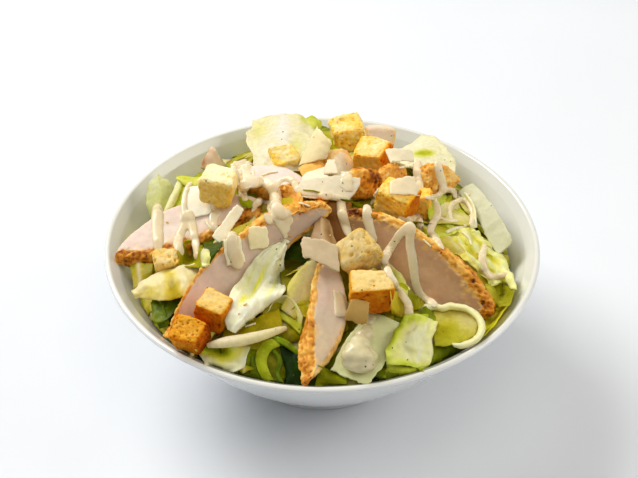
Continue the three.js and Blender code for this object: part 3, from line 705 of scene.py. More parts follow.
PAINTED_TOP_LIGHT = {"06": 0.75, "07": 0.75, "08": 0.15, "04": 0.4}  # how much lighter the upward faces of a crouton are painted: painted light from above
HAND = {"04": 0.03}  # how far its sides are out of parallel; the others 0.09
SOFT = {"04": (8.0, 0.7, 1.0), "01": (5.0, 1.5, 0.94), "05": (5.5, 1.5, 0.97), "09": (5.5, 1.4, 0.87)}  # roundness, unevenness, size
BREAD_STOPS = [(0.0, (252, 238, 186)), (0.18, (249, 218, 126)), (0.38, (243, 188, 54)), (0.56, (232, 148, 12)),
               (0.74, (194, 98, 4)), (0.9, (118, 52, 3)), (1.0, (62, 26, 2))]


def crouton(key, row, seed):
    at, size, turn, base, pores, sides = row
    n = int(27 + 9 * pores) if pores < 1 else 52
    lins = np.sin(np.linspace(-1, 1, n + 1) * math.pi / 2 * 0.93) / math.sin(math.pi / 2 * 0.93)
    g = np.stack(np.meshgrid(lins, lins, indexing="ij"), -1).reshape(-1, 2)
    verts, faces, off = [], [], 0
    for ax in range(3):
        for s in (-1, 1):
            p = np.empty((len(g), 3))
            p[:, ax] = s
            p[:, (ax + 1) % 3] = g[:, 0]
            p[:, (ax + 2) % 3] = g[:, 1]
            q = grid_quads(n + 1, n + 1)
            faces.append((q if s > 0 else q[:, ::-1]) + off)
            verts.append(p)
            off += len(g)
    v = np.concatenate(verts)
    power, uneven, grow = SOFT.get(key, (8.0, 1.1, 1.0))
    nn = (np.abs(v) ** power).sum(1) ** (1 / power)
    m = np.abs(v).max(1) / nn
    local = v * m[:, None] * np.array(size) / 2 * grow
    nrm = np.sign(v) * np.abs(v * m[:, None]) ** (power - 1)
    nrm /= np.linalg.norm(nrm, axis=1, keepdims=True)
    rx, ry, rz = (math.radians(t) for t in turn)
    Rx = np.array([[1, 0, 0], [0, math.cos(rx), -math.sin(rx)], [0, math.sin(rx), math.cos(rx)]])
    Ry = np.array([[math.cos(ry), 0, math.sin(ry)], [0, 1, 0], [-math.sin(ry), 0, math.cos(ry)]])
    Rz = np.array([[math.cos(rz), -math.sin(rz), 0], [math.sin(rz), math.cos(rz), 0], [0, 0, 1]])
    R = Rx @ Ry @ Rz
    own = local + seed * 37.0
    for ax in range(3):  # cut by hand: no two sides quite parallel
        for bx in range(3):
            if ax != bx:
                local[:, ax] = local[:, ax] * (1 + HAND.get(key, 0.09) * rough(ax, bx, seed, 5) * v[:, bx])
    push = 0.95 * uneven * fbm(own, 8.0, 2, seed + 1) + 0.45 * fbm(own, 2.8, 3, seed + 2, 0.6) + 0.20 * fbm(own, 0.9, 2, seed + 3)
    pit = np.zeros(len(local))
    for sz, depth, keep in ((3.4, 1.2, 0.55), (2.0, 1.0, 0.55), (1.2, 0.6, 0.55)) if pores < 1 else ((2.3, 0.75, 0.9), (1.5, 0.6, 0.9)):
        c, who = cells(own, sz, seed + 5)
        chosen = who < keep * (0.35 + 0.75 * pores)
        r = 0.26 + 0.16 * (who * 7 % 1)
        pit = np.maximum(pit, np.where(chosen, depth * (0.5 + 0.6 * pores) * (1 - smooth01(c, r * 0.35, r)), 0))
    face_in = 1 - 0.5 * smooth01(np.sort(np.abs(v), 1)[:, 1], 0.8, 1.0)
    shift = push - pit * face_in
    world_n = nrm @ R.T
    world = np.array(at) + (local + nrm * shift[:, None]) @ R.T
    tone = base + 0.13 * fbm(own, 5.0, 3, seed + 7) + 0.07 * fbm(own, 1.5, 2, seed + 8)
    # painted light and shade: each face's tone follows which way it turns
    for direction, change in sides:
        dv = np.array(direction, float)
        dv /= np.linalg.norm(dv)
        tone = tone + change * np.clip(world_n @ dv, 0, 1) ** 1.5
    corner = smooth01(np.sort(np.abs(v), 1)[:, 1], 0.72, 1.0)
    # edges darker with toasting; the pores are painted darker as painted shade in the holes
    tone = tone + 0.07 * corner + 0.20 * smooth01(pit, 0.10, 0.9) - 0.06 * smooth01(fbm(own, 1.1, 2, seed + 9), 0.1, 0.4)
    c, who = cells(own, 2.4, seed + 15)
    tone = np.where((c < 0.16) & (who > 0.62), tone + 0.35, tone)
    keep = PAINTED_TOP_LIGHT.get(key, 0.0) * smooth01(world_n[:, 2], 0.45, 0.85)
    shade = np.array(BREAD_TINT.get(key, (1, 1, 1)))
    tone = tone - 0.10 * keep
    col = ramp(np.clip(tone, 0, 1), BREAD_STOPS) * (shade[None] * (1 - keep[:, None]) + keep[:, None] * (0.4 + 0.6 * shade[None]))
    return build("toasted_crouton_" + key, world, np.concatenate(faces), M_BREAD, tint=col,
                 replaces=["crouton_" + key], merge=0.01)


for i, (key, row) in enumerate(CROUTONS.items()):
    crouton(key, row, i + 1)

# ------------------------------------------------------------------ cheese
SHAVINGS = {
    "01": ((-11.9, 0.9, 114.6), (18.1, 0.8, 114.1), 22, 14, 1.6, 0.1, 2.0, 0.5, 1.5),
    "02": ((78.2, 35.7, 90.5), (94.8, -10.8, 84.2), 34, 12, 1.7, 0.1, 0, 1.6, 1.2),
    "03": ((12.8, -104.8, 84.5), (33.8, -70.7, 88.5), 14, 22, 1.8, 0.05, -2.0, 0.0, 1.2),
    "04": ((-31.2, -34.3, 115.4), (-30.8, -39.9, 105.3), -22.6, 10, 1.8, 0.05, 0, 0.0, 0.4),
    "05": ((-44.0, -43.1, 114.2), (-42.3, -48.9, 102.5), -11.2, 9.0, 2.0, 0.1, 0.0, 0.0, 0.5),
    "06": ((-51.8, -34.1, 107.0), (-40.7, -12.7, 112.0), 34, 6.5, 1.7, -0.25, 0.0, 0.4, 1.0),
    "07": ((-9.8, -50.9, 116.8), (7.6, -59.0, 117.1), 34, 11, 2.1, 0.1, -1.5, 0.0, 1.0),
    "08": ((7.6, -63.9, 100.5), (9.4, -77.0, 94.9), -19.8, 5.5, 1.8, 0.1, 0, 0.3, 0.3),
    "09": ((18.1, -80.1, 108.6), (15.2, -88.5, 102.1), -12, 9, 1.7, 0.1, 0.0, 0.0, 0.8),
    "10": ((35.2, -7.6, 122.1), (50.7, -0.6, 117.0), 28, 10, 2.0, 0.1, 1.0, 0.0, 1.0),
    "11": ((-10.3, 41.3, 113.2), (2.8, 32.2, 117.4), 40, 17, 1.7, -0.45, 1.0, 0.0, 2.0),
    "12": ((-72.2, -42.7, 89.4), (-59.6, -40.5, 93.5), 34, 9, 1.8, -0.2, 0.0, 0.0, 1.0),
    "13": ((-65.7, -2.5, 99.0), (-68.9, 15.9, 104.3), -10.1, 12.5, 1.7, -0.36, 0.0, 0.0, 0.6),
    "14": ((36.2, 27.2, 116.6), (50.2, 35.2, 111.4), 30, 8, 1.7, -0.1, 0.0, 0.0, 1.0),
    "15": ((4.2, 15.9, 113.4), (4.8, 27.6, 114.2), -8, 6, 1.6, -0.3, 0.0, 0.0, 0.8),
    "16": ((-37.4, 4.9, 112.9), (-38.9, 26.1, 110.1), 4, 6.0, 1.7, 0.1, 0.0, 0.0, 1.0),
}
CHEESE_TONE = {"02": (230, 230, 190), "03": (226, 226, 172), "04": (244, 230, 172), "05": (240, 230, 184), "07": (242, 228, 184),
               "08": (240, 222, 172), "09": (240, 226, 180), "10": (250, 236, 204), "12": (242, 234, 188), "01": (252, 246, 216),
               "11": (252, 246, 220), "16": (252, 246, 222)}

CHEESE_GAIN = {"01": (0.81, 0.74, 0.70), "02": (0.74, 0.74, 0.76), "03": (0.89, 0.90, 0.85), "04": (1.10, 1.07, 1.22),
               "05": (1.10, 1.12, 1.25), "07": (0.70, 0.62, 0.60), "08": (1.02, 1.06, 1.25), "09": (0.52, 0.37, 0.15),
               "10": (0.97, 0.91, 0.82), "11": (0.90, 0.79, 0.57), "13": (1.03, 1.05, 1.15), "14": (1.05, 1.0, 0.96),
               "15": (0.95, 0.85, 0.82), "16": (0.90, 0.82, 0.74)}


def shaving(key, row, seed):
    a, b, lean, wide, thick, taper, skew, bow, curl = row
    centre, axes, length = plate_axes(a, b, lean)
    nu, nv = int(max(16, length * 1.6)), int(max(10, wide * 1.9))
    u, v = np.meshgrid(np.linspace(-1, 1, nu), np.linspace(-1, 1, nv), indexing="ij")
    rnd = 1 - 0.05 * u * u * v * v
    cx = [0.16 * rough(c, 1, seed, 3) for c in range(4)]
    cy = [0.16 * rough(c, 2, seed, 3) for c in range(4)]
    quad = [(1 - u) * (1 - v) / 4, (1 - u) * (1 + v) / 4, (1 + u) * (1 - v) / 4, (1 + u) * (1 + v) / 4]
    slant_x = sum(w * c for w, c in zip(quad, cx)) * min(length, 2.2 * wide) / 2
    slant_y = sum(w * c for w, c in zip(quad, cy)) * wide / 2
    edge = np.maximum(np.abs(u), np.abs(v)) ** 5
    seedp = np.stack([u * length / 2, v * wide / 2, 0 * u], -1).reshape(-1, 3) + seed * 53.0
    jag = (fbm(seedp, 6.0, 3, seed) * 1.5 + fbm(seedp, 1.5, 2, seed + 3) * 0.5).reshape(u.shape)
    jag2 = (fbm(seedp, 5.5, 3, seed + 7) * 1.4 + fbm(seedp, 1.4, 2, seed + 8) * 0.45).reshape(u.shape)
    x = length / 2 * u * rnd + slant_x + skew * v + edge * jag * np.sign(u) * np.abs(u) ** 3 * 0.9
    y = wide / 2 * v * (1 + taper * u) * rnd + slant_y + bow * (1 - u * u) + edge * jag2 * np.sign(v) * np.abs(v) ** 3 * 0.8
    z = -curl * u * u + 0.5 * curl * v * u
    wave = (fbm(seedp, 7.0, 2, seed + 11) * 0.45 + fbm(seedp, 2.0, 2, seed + 12) * 0.10).reshape(u.shape)
    thin = 1 - 0.45 * np.maximum(np.abs(u), np.abs(v)) ** 8
    top = np.stack([x, y, z + wave - thick * 0.42 - (1 - thin) * thick * 0.2], -1).reshape(-1, 3)
    low = np.stack([x, y, z + wave - thick * (1 - 0.30 * (1 - thin))], -1).reshape(-1, 3)
    verts = np.concatenate([top, low])
    q = grid_quads(nu, nv)
    faces = [q, q[:, ::-1] + nu * nv]
    ring = [i * nv for i in range(nu)] + [(nu - 1) * nv + j for j in range(1, nv)]
    ring += [i * nv + nv - 1 for i in range(nu - 2, -1, -1)] + [j for j in range(nv - 2, 0, -1)]
    r = np.array(ring)
    r2 = np.roll(r, -1)
    faces.append(np.stack([r, r + nu * nv, r2 + nu * nv, r2], -1))
    world = centre + verts @ axes
    base = lin(CHEESE_TONE.get(key, (246, 236, 204))) * np.array(CHEESE_GAIN.get(key, (1.0, 1.0, 1.0)))
    t = fbm(world, 5.0, 3, seed + 15)
    col = base[None] * (1 + 0.07 * t[:, None]) * (1 - np.clip(-t, 0, 1)[:, None] * np.array([0.0, 0.02, 0.10]))
    rim = np.concatenate([np.maximum(np.abs(u), np.abs(v)).ravel()] * 2)
    col = col * (1 + 0.04 * smooth01(rim, 0.85, 1.0))[:, None]
    return build("cheese_shaving_" + key, world, np.concatenate(faces), M_CHEESE, tint=col,
                 replaces=["shaving_" + key], merge=0.005)


for i, (key, row) in enumerate(SHAVINGS.items()):
    shaving(key, row, i + 1)

# ------------------------------------------------------------------ romaine: tools
GREEN_STOPS = [(0.0, (254, 251, 230)), (0.15, (249, 246, 194)), (0.30, (238, 237, 136)), (0.45, (216, 222, 66)),
               (0.60, (178, 190, 18)), (0.72, (134, 152, 3)), (0.85, (78, 102, 1)), (1.0, (34, 52, 0))]
GOLD_STOPS = [(0.0, (254, 249, 226)), (0.15, (251, 241, 178)), (0.30, (244, 227, 112)), (0.45, (229, 205, 44)),
              (0.60, (196, 170, 6)), (0.72, (154, 132, 1)), (0.85, (102, 90, 0)), (1.0, (46, 42, 0))]
CHEESE_STOPS = [(0.0, (252, 246, 220)), (0.4, (246, 236, 186)), (0.8, (228, 222, 160)), (1.0, (206, 196, 120))]
FLAKE_STOPS = [(0.0, (250, 216, 146)), (0.3, (240, 180, 88)), (0.6, (212, 132, 42)), (1.0, (116, 60, 14))]


def leaf_colour(tone, warm, pts, seed):
    t = tone + 0.05 * fbm(pts, 7.0, 3, seed + 5) + 0.035 * fbm(pts, 1.7, 2, seed + 6)
    w = np.clip(warm + 0.25 * fbm(pts, 12.0, 2, seed + 7), 0, 1)
    return blend(ramp(np.clip(t, 0, 1), GREEN_STOPS), ramp(np.clip(t, 0, 1), GOLD_STOPS), w)


def spline(ctrl, n):
    """n points along a smooth curve through ctrl."""
    c = np.asarray(ctrl, float)
    if len(c) == 1:
        return np.repeat(c, n, 0)
    d = np.r_[0, np.cumsum(np.linalg.norm(np.diff(c, axis=0), axis=1) ** 0.5 + 1e-6)]
    t = np.linspace(0, d[-1], n)
    if len(c) == 2:
        k = (t / d[-1])[:, None]
        return c[0] * (1 - k) + c[1] * k
    m = np.gradient(c, d, axis=0)
    i = np.clip(np.searchsorted(d, t, side="right") - 1, 0, len(c) - 2)
    h = (d[i + 1] - d[i])[:, None]
    s = (t - d[i])[:, None] / h
    h00, h10, h01, h11 = 2 * s**3 - 3 * s**2 + 1, s**3 - 2 * s**2 + s, -2 * s**3 + 3 * s**2, s**3 - s**2
    return h00 * c[i] + h10 * h * m[i] + h01 * c[i + 1] + h11 * h * m[i + 1]


def place(p):
    """(u, v, d): d mm nearer than the first solid seen there; (u, v, 'z', h): at that height; 3 floats after 'p': as given."""
    if p[0] == "p":
        return np.array(p[1:], float)
    if len(p) == 4:
        return at_height(p[0], p[1], p[3])
    hit, _, _ = cast(cad_all, p[0], p[1])
    if hit is None:
        return at_height(p[0], p[1], 84.0)
    return hit - ray(p[0], p[1]) * p[2]


def two_sided(grid, nu, nv, half):
    """A closed leaf of the given half thickness round a grid of points."""
    n = grid_normals(grid, nu, nv)
    front, back = grid + n * half[:, None], grid - n * half[:, None]
    q = grid_quads(nu, nv)
    ring = [i * nv for i in range(nu)] + [(nu - 1) * nv + j for j in range(1, nv)]
    ring += [i * nv + nv - 1 for i in range(nu - 2, -1, -1)] + [j for j in range(nv - 2, 0, -1)]
    r = np.array(ring)
    r2 = np.roll(r, -1)
    faces = np.concatenate([q, q[:, ::-1] + nu * nv, np.stack([r, r + nu * nv, r2 + nu * nv, r2], -1)])
    return np.concatenate([front, back]), faces


LEAVES = []  # (points, faces, colours)
PALE = []  # which of them are the pale, thick kind


def leaf(rows, tone, warm=0.0, edge=0.0, ribs=(), thick=0.5, ruffle=0.0, wave=9.0, wrinkle=0.3, veins=0.05,
         seed=0, res=0.85, spots=(), into=None, stops=None, gain=(1.0, 1.0, 1.0), pale=False, pleat=(0.0, 3.0, 16.0)):
    rows = [[place(p) for p in r] for r in rows]
    wid = max(sum(np.linalg.norm(np.diff(np.array(r), axis=0), axis=1)) for r in rows if len(r) > 1)
    mids = np.array([r[len(r) // 2] for r in rows])
    lng = np.linalg.norm(np.diff(mids, axis=0), axis=1).sum()
    nv, nu = int(np.clip(wid / res, 7, 90)), int(np.clip(lng / res, 7, 110))
    across = np.stack([spline(r, nv) for r in rows])
    grid = np.stack([spline(across[:, j], nu) for j in range(nv)], 1)
    flat = grid.reshape(-1, 3)
    t, s = np.meshgrid(np.linspace(0, 1, nu), np.linspace(0, 1, nv), indexing="ij")
    t, s = t.ravel(), s.ravel()
    n = grid_normals(flat, nu, nv)
    if ((EYE - flat) * n).sum() < 0:
        n = -n
    rim = np.maximum(np.abs(2 * s - 1), np.abs(2 * t - 1))
    rimw = rim**2.5
    wob = vnoise(flat + seed * 11.3, wave, seed) + 0.5 * vnoise(flat + seed * 7.1, wave * 0.45, seed + 1)
    fold = ruffle * rimw * wob * 1.3 + wrinkle * fbm(flat + seed * 3.7, 4.2, 3, seed + 2) * 1.2
    fold = fold + 0.06 * vnoise(flat, 1.3, seed + 3)
    if pleat[0]:
        pk = np.stack([s * wid + 1.5 * np.sin(t * 5.0 + seed), t * lng * pleat[1] / pleat[2], 0 * s + seed * 7.0], -1)
        fold = fold + pleat[0] * (0.8 * vnoise(pk, pleat[1], seed + 12) + 0.22 * vnoise(pk, pleat[1] * 0.45, seed + 13))
    # ragged outline
    cen = flat.mean(0)
    flat = flat + (flat - cen) * (rimw * 0.035 * fbm(flat + seed, 3.0, 2, seed + 4))[:, None]
    flat = flat + n * fold[:, None]
    tv = (np.array(tone[0]) * (1 - s) + tone[1] * s) * (1 - t) + (np.array(tone[2]) * (1 - s) + tone[3] * s) * t
    half = np.full(len(flat), thick / 2) * (1 - 0.5 * smooth01(rim, 0.8, 1.0))
    tv = tv + edge * smooth01(rim, 0.55, 1.0)
    # fine branching veins: pale lines
    if veins:
        vn = np.abs(fbm(flat * np.array([1.0, 1.0, 0.6]) + seed * 5.0, 6.5, 3, seed + 8))
        tv = tv - veins * (1 - smooth01(vn, 0.0, 0.07)) * 1.4
        half = half + 0.10 * (1 - smooth01(vn, 0.0, 0.07))
    for s0, s1, width, rtone, height in ribs:
        across_mm = np.abs(s - (s0 * (1 - t) + s1 * t)) * wid
        g = np.exp(-((across_mm / (width / 2)) ** 2))
        tv = tv * (1 - g) + rtone * g
        half = half + height / 2 * g * (1 - 0.6 * t)
    for s0, t0, rs, rt, st in spots:
        g = np.exp(-(((s - s0) / rs) ** 2 + ((t - t0) / rt) ** 2))
        tv = tv * (1 - g) + st * g
    if stops is None:
        col = leaf_colour(tv, warm, flat, seed)
    else:
        col = ramp(np.clip(tv + 0.10 * fbm(flat, 3.0, 3, seed + 5), 0, 1), stops)
    col = np.minimum(col * np.array(gain), 0.96)
    v, f = two_sided(flat, nu, nv, half)
    if into is None:
        PALE.append(pale)
    (LEAVES if into is None else into).append((v, f, np.concatenate([col, col])))


# heights of the heap and of the undersides of what lies on it
HM_STEP, HM_N = 1.5, 161
HM_LO = -HM_STEP * (HM_N // 2)
heap_top = np.full((HM_N, HM_N), np.nan)
top_low = np.full((HM_N, HM_N), 999.0)
for a in range(HM_N):
    for b in range(HM_N):
        x, y = HM_LO + a * HM_STEP, HM_LO + b * HM_STEP
        if x * x + y * y > 112**2:
            continue
        h = cad_heap.ray_cast(Vector((x, y, 200)), Vector((0, 0, -1)))
        if h[0] is not None:
            heap_top[a, b] = h[0].z
        h = cad_toppings.ray_cast(Vector((x, y, 20)), Vector((0, 0, 1)))
        if h[0] is not None:
            top_low[a, b] = h[0].z
heap_top = np.where(np.isnan(heap_top), 66.0, heap_top)
grown = top_low.copy()
for da in (-1, 0, 1):
    for db in (-1, 0, 1):
        grown = np.minimum(grown, np.roll(np.roll(top_low, da, 0), db, 1))
top_low = grown


def sample(table, x, y):
    fx = np.clip((x - HM_LO) / HM_STEP, 0, HM_N - 1.001)
    fy = np.clip((y - HM_LO) / HM_STEP, 0, HM_N - 1.001)
    i, j = fx.astype(int), fy.astype(int)
    p, q = fx - i, fy - j
    return (table[i, j] * (1 - p) * (1 - q) + table[i + 1, j] * p * (1 - q) + table[i, j + 1] * (1 - p) * q
            + table[i + 1, j + 1] * p * q)


def nearest(table, x, y):
    i = np.clip(np.round((x - HM_LO) / HM_STEP), 0, HM_N - 1).astype(int)
    j = np.clip(np.round((y - HM_LO) / HM_STEP), 0, HM_N - 1).astype(int)
    return table[i, j]


def loose_leaf(rng, x, y, heading, length, width, tone, warm, lift, roll, pitch, ruffle, free, rib, seed):
    nu, nv = int(np.clip(length / 1.55, 11, 60)), int(np.clip(width / 1.55, 8, 40))
    t, s = np.meshgrid(np.linspace(0, 1, nu), np.linspace(-1, 1, nv), indexing="ij")
    t, s = t.ravel(), s.ravel()
    hw = width / 2 * np.sin(np.pi * (0.10 + 0.84 * t)) ** 0.55
    key = np.stack([t * length, s * width / 2, 0 * t], -1) + seed * 41.0
    hw = hw * (1 + 0.16 * vnoise(np.stack([t * length, np.sign(s) * 9, 0 * t], -1) + seed * 3.1, 7.0, seed))
    px, py = (t - 0.5) * length, s * hw
    bend, trough = rng.uniform(-0.010, 0.006), rng.uniform(0.05, 0.32)
    pz = bend * px**2 + trough * np.abs(s) ** 1.5 * width / 2 * 0.6
    pz = pz + ruffle * np.abs(s) ** 1.8 * vnoise(key, 8.5, seed + 1) * 1.7 + 0.55 * fbm(key, 5.0, 3, seed + 2)
    loc = np.stack([px, py, pz], -1)
    e = 3.0
    zx = (sample(heap_top, x + e, y) - sample(heap_top, x - e, y)) / (2 * e)
    zy = (sample(heap_top, x, y + e) - sample(heap_top, x, y - e)) / (2 * e)
    up = np.array([-np.clip(zx, -0.8, 0.8), -np.clip(zy, -0.8, 0.8), 1.0])
    up /= np.linalg.norm(up)
    fx = np.array([math.cos(heading), math.sin(heading), 0.0])
    fx -= (fx @ up) * up
    fx /= np.linalg.norm(fx)
    fy = np.cross(up, fx)
    fy2 = fy * math.cos(roll) + up * math.sin(roll)
    up2 = np.cross(fx, fy2)
    fx2 = fx * math.cos(pitch) + up2 * math.sin(pitch)
    up3 = np.cross(fx2, fy2)
    w = np.array([x, y, float(sample(heap_top, np.array([x]), np.array([y]))[0]) + lift]) + loc @ np.stack([fx2, fy2, up3])
    # stays under what lies on the heap, and inside the bowl
    for _ in range(2):
        r = np.hypot(w[:, 0], w[:, 1])
        lim = np.minimum(inside_r(np.clip(w[:, 2], 10, 83)) - 1.0, 109.0)
        k = np.minimum(1, lim / np.maximum(r, 1e-6))
        w[:, 0] *= k
        w[:, 1] *= k
        top = np.minimum(sample(heap_top, w[:, 0], w[:, 1]) + free, nearest(top_low, w[:, 0], w[:, 1]) - 0.7)
        over = w[:, 2] - top
        w[:, 2] = np.where(over > -1.0, top - 1.0 + np.tanh((over + 1.0) / 3.0) * 1.0, w[:, 2])
        floor_z = sample(heap_top, w[:, 0], w[:, 1]) - 7.0
        w[:, 2] = np.maximum(w[:, 2], floor_z)
    rim = np.maximum(np.abs(s), np.abs(2 * t - 1))
    tv = tone[0] * (1 - np.abs(s)) + tone[1] * np.abs(s) + (tone[2]) * (t - 0.4)
    half = np.full(len(w), 0.26) * (1 - 0.4 * smooth01(rim, 0.8, 1.0))
    vn = np.abs(fbm(key, 6.0, 3, seed + 8))
    tv = tv - 0.06 * (1 - smooth01(vn, 0.0, 0.08))
    if rib:
        width_mm = rib * (1.25 - 0.8 * t)
        g = np.exp(-((s * hw / (width_mm / 2)) ** 2))
        tv = tv * (1 - g) + 0.06 * g
        half = half + 0.30 * rib * 0.5 * g * (1.1 - 0.7 * t)
        # side veins
        sv = np.abs(np.sin((t * length + np.abs(s) * width * 0.28) * math.pi / 6.5))
        tv = tv - 0.07 * (1 - smooth01(sv, 0.0, 0.18)) * smooth01(np.abs(s), 0.05, 0.3)
    col = leaf_colour(tv, warm, w, seed) * np.array([0.88, 0.82, 0.55])
    v, f = two_sided(w, nu, nv, half)
    return v, f, np.concatenate([col, col])


def join(parts):
    verts, faces, cols, n = [], [], [], 0
    for v, f, c in parts:
        verts.append(v)
        faces.append(f + n)
        cols.append(c)
        n += len(v)
    return np.concatenate(verts), np.concatenate(faces), np.concatenate(cols)


# core: the heap's own shape, lower and creased; its dark green is darkened further as painted shade between the leaves
cv, cf = CAD["lettuce_heap"]
me = bpy.data.meshes.new("core_work")
me.from_pydata(cv.tolist(), [], [list(f) for f in cf])
bm = bmesh.new()
bm.from_mesh(me)
bmesh.ops.remove_doubles(bm, verts=bm.verts, dist=0.01)
bmesh.ops.subdivide_edges(bm, edges=bm.edges, cuts=2, use_grid_fill=True)
bm.verts.ensure_lookup_table()
bmesh.ops.recalc_face_normals(bm, faces=bm.faces)
for _ in range(2):
    bmesh.ops.smooth_vert(bm, verts=bm.verts, factor=0.4, use_axis_x=False, use_axis_y=False, use_axis_z=True)
bm.to_mesh(me)
bm.free()
co = np.empty(len(me.vertices) * 3)
me.vertices.foreach_get("co", co)
co = co.reshape(-1, 3)
tops = sample(heap_top, co[:, 0], co[:, 1])
near_top = smooth01(tops - co[:, 2], 6.0, 1.0)
co[:, 2] -= near_top * (3.2 + 1.3 * fbm(co, 9.0, 3, 901))
inward = 1 - 0.012 * np.ones(len(co))
co[:, 0] *= inward
co[:, 1] *= inward
core_faces = [tuple(p.vertices) for p in me.polygons]
# painted shade: the core is dark and dimmed by 0.7 to stand for the shade between the leaves
dark = 0.86 + 0.10 * fbm(co, 12.0, 3, 905)
core_col_painted_shade = leaf_colour(dark, 0.3, co, 907) * 0.7
core = build("romaine_core", co, core_faces, M_CORE, tint=core_col_painted_shade, replaces=["lettuce_heap"])
bpy.data.meshes.remove(me)

# ------------------------------------------------------------------ romaine: loose leaves all over the heap
rng = np.random.default_rng(7)
LOOSE = []
N_LOOSE = 120
for i in range(N_LOOSE):
    r = 98.0 * math.sqrt((i + 0.5) / N_LOOSE)
    a = i * 2.39996 + 0.4
    x, y = r * math.cos(a), r * math.sin(a)
    heading = a + rng.uniform(-1.3, 1.3)
    deep = i % 3 == 0
    kind = rng.random()
    length, width = rng.uniform(28, 50), rng.uniform(18, 32)
    if kind < 0.22:
        tone, rib, width = (0.08, 0.26, 0.15), rng.uniform(5, 8), width * 0.7
    elif kind < 0.66:
        tone, rib = (0.30, 0.52, 0.15), rng.uniform(1.5, 3.5)
    else:
        tone, rib = (0.52, 0.72, 0.12), rng.uniform(1.0, 2.5)
    if r > 84:
        tone = (tone[0] + 0.08, tone[1] + 0.08, tone[2])
    lift = -3.0 if deep else rng.uniform(-1.0, 1.5)
    LOOSE.append(loose_leaf(rng, x, y, heading, length, width, tone, rng.uniform(0.0, 0.6), lift,
                            rng.uniform(-0.45, 0.45), rng.uniform(-0.25, 0.25), rng.uniform(1.0, 2.6),
                            1.2 if deep else 3.2, rib, 1000 + i * 3))
v, f, c = join(LOOSE)
build("romaine_loose_leaves", v, f, M_LEAF, tint=c, replaces=["lettuce_heap"])

# ------------------------------------------------------------------ romaine: the leaves that show
# back left: a broad pale leaf over the back slope, its green tips, and strips beside it
leaf([[(255, 130, "z", 88), (270, 122, "z", 88), (286, 119, "z", 88), (303, 119, "z", 88), (316, 129, "z", 88)],
      [(254, 123, "z", 97), (268, 118, "z", 99), (285, 115.5, "z", 100), (300, 115.5, "z", 100), (316, 128, "z", 99)],
      [(247, 143.5, "z", 101), (266, 137, "z", 103), (286, 134, "z", 105), (304, 134, "z", 105), (330, 147, "z", 102)],
      [(253, 155, "z", 103), (268, 152, "z", 105), (287, 149, "z", 106.5), (305, 151, "z", 105.5), (323, 154, "z", 103)],
      [(254, 168, "z", 103), (270, 169, "z", 104), (288, 169, "z", 104), (303, 169, "z", 103.5), (316, 164, "z", 102)]],
     (0.12, 0.20, 0.04, 0.14), edge=0.02, ribs=[(0.42, 0.5, 6, 0.0, 1.8)], ruffle=2.2, wrinkle=0.16, seed=11, wave=12, gain=(0.96, 0.93, 1.04), pleat=(2.0, 10.0, 12.0),
     spots=[(0.74, 0.34, 0.05, 0.06, 0.44), (0.12, 0.40, 0.12, 0.2, 0.24), (0.62, 0.72, 0.10, 0.16, 0.28), (0.42, 0.52, 0.10, 0.10, 0.0), (0.80, 0.08, 0.10, 0.08, 0.34)])
leaf([[(297, 126, "z", 98), (304, 118, "z", 99), (313, 117, "z", 99), (323, 125, "z", 98)],
      [(299, 129, "z", 100), (306, 123, "z", 101.5), (314, 123, "z", 101.5), (321, 128, "z", 100)],
      [(302, 131, "z", 100), (308, 129, "z", 101), (314, 129, "z", 101), (319, 131, "z", 100)]],
     (0.46, 0.50, 0.28, 0.36), ruffle=1.2, seed=12, wave=6)
leaf([[(318, 131, "z", 97), (327, 136, "z", 96), (337, 141, "z", 95)],
      [(322, 148, "z", 98), (330, 149, "z", 97), (338, 151, "z", 96)],
      [(314, 166, "z", 99), (321, 165, "z", 99), (329, 160, "z", 98)]],
     (0.52, 0.60, 0.66, 0.62), warm=0.35, ruffle=0.8, seed=13)
# left: a pointed leaf behind the slice, a white rib and a green strip beside it
leaf([[(156.5, 176, "z", 92), (158, 174.5, "z", 92), (160, 175.5, "z", 92)],
      [(149, 184, "z", 90.5), (159, 183, "z", 92), (170, 183, "z", 91)],
      [(146, 196, "z", 88), (160, 194, "z", 90), (175, 190, "z", 89)],
      [(149, 211, "z", 84), (158, 213, "z", 85), (168, 212, "z", 85)],
      [(152, 222, "z", 80), (160, 222, "z", 80), (168, 220, "z", 80)]],
     (0.18, 0.20, 0.36, 0.36), ruffle=0.8, wrinkle=0.35, ribs=[(0.5, 0.62, 1.6, 0.30, 0.4)], seed=14, gain=(0.78, 0.80, 0.95))
leaf([[(178, 181, "z", 95), (180.5, 180.5, "z", 96), (184, 181.5, "z", 95)],
      [(174, 191, "z", 93), (177, 191, "z", 94.5), (180, 192, "z", 93.5)],
      [(169, 201, "z", 90.5), (172, 202, "z", 92), (175.5, 202, "z", 91)],
      [(164, 212, "z", 88), (167, 212, "z", 89), (171, 212, "z", 88)]],
     (0.05, 0.30, 0.05, 0.25), thick=2.2, wrinkle=0.15, seed=15, veins=0.0)
leaf([[(176, 176, "z", 96), (184, 175.8, "z", 97), (192, 177, "z", 97), (201, 178, "z", 97)],
      [(176.5, 179, "z", 97.5), (185, 181, "z", 98), (193, 181, "z", 98), (201, 181, "z", 98)],
      [(181, 184, "z", 96), (186, 186, "z", 97), (193, 187, "z", 97), (201, 185, "z", 97)]],
     (0.46, 0.42, 0.40, 0.30), ruffle=0.5, seed=16)
leaf([[(181, 184, "z", 95), (186, 185, "z", 95.5), (192, 186, "z", 95.5)],
      [(177, 196, "z", 92), (183, 197, "z", 93), (188, 197, "z", 93)],
      [(171, 208, "z", 89), (178, 209, "z", 90), (184, 208, "z", 90)]],
     (0.45, 0.50, 0.52, 0.45), ruffle=0.4, seed=17, ribs=[(0.5, 0.4, 1.2, 0.66, 0.4)])
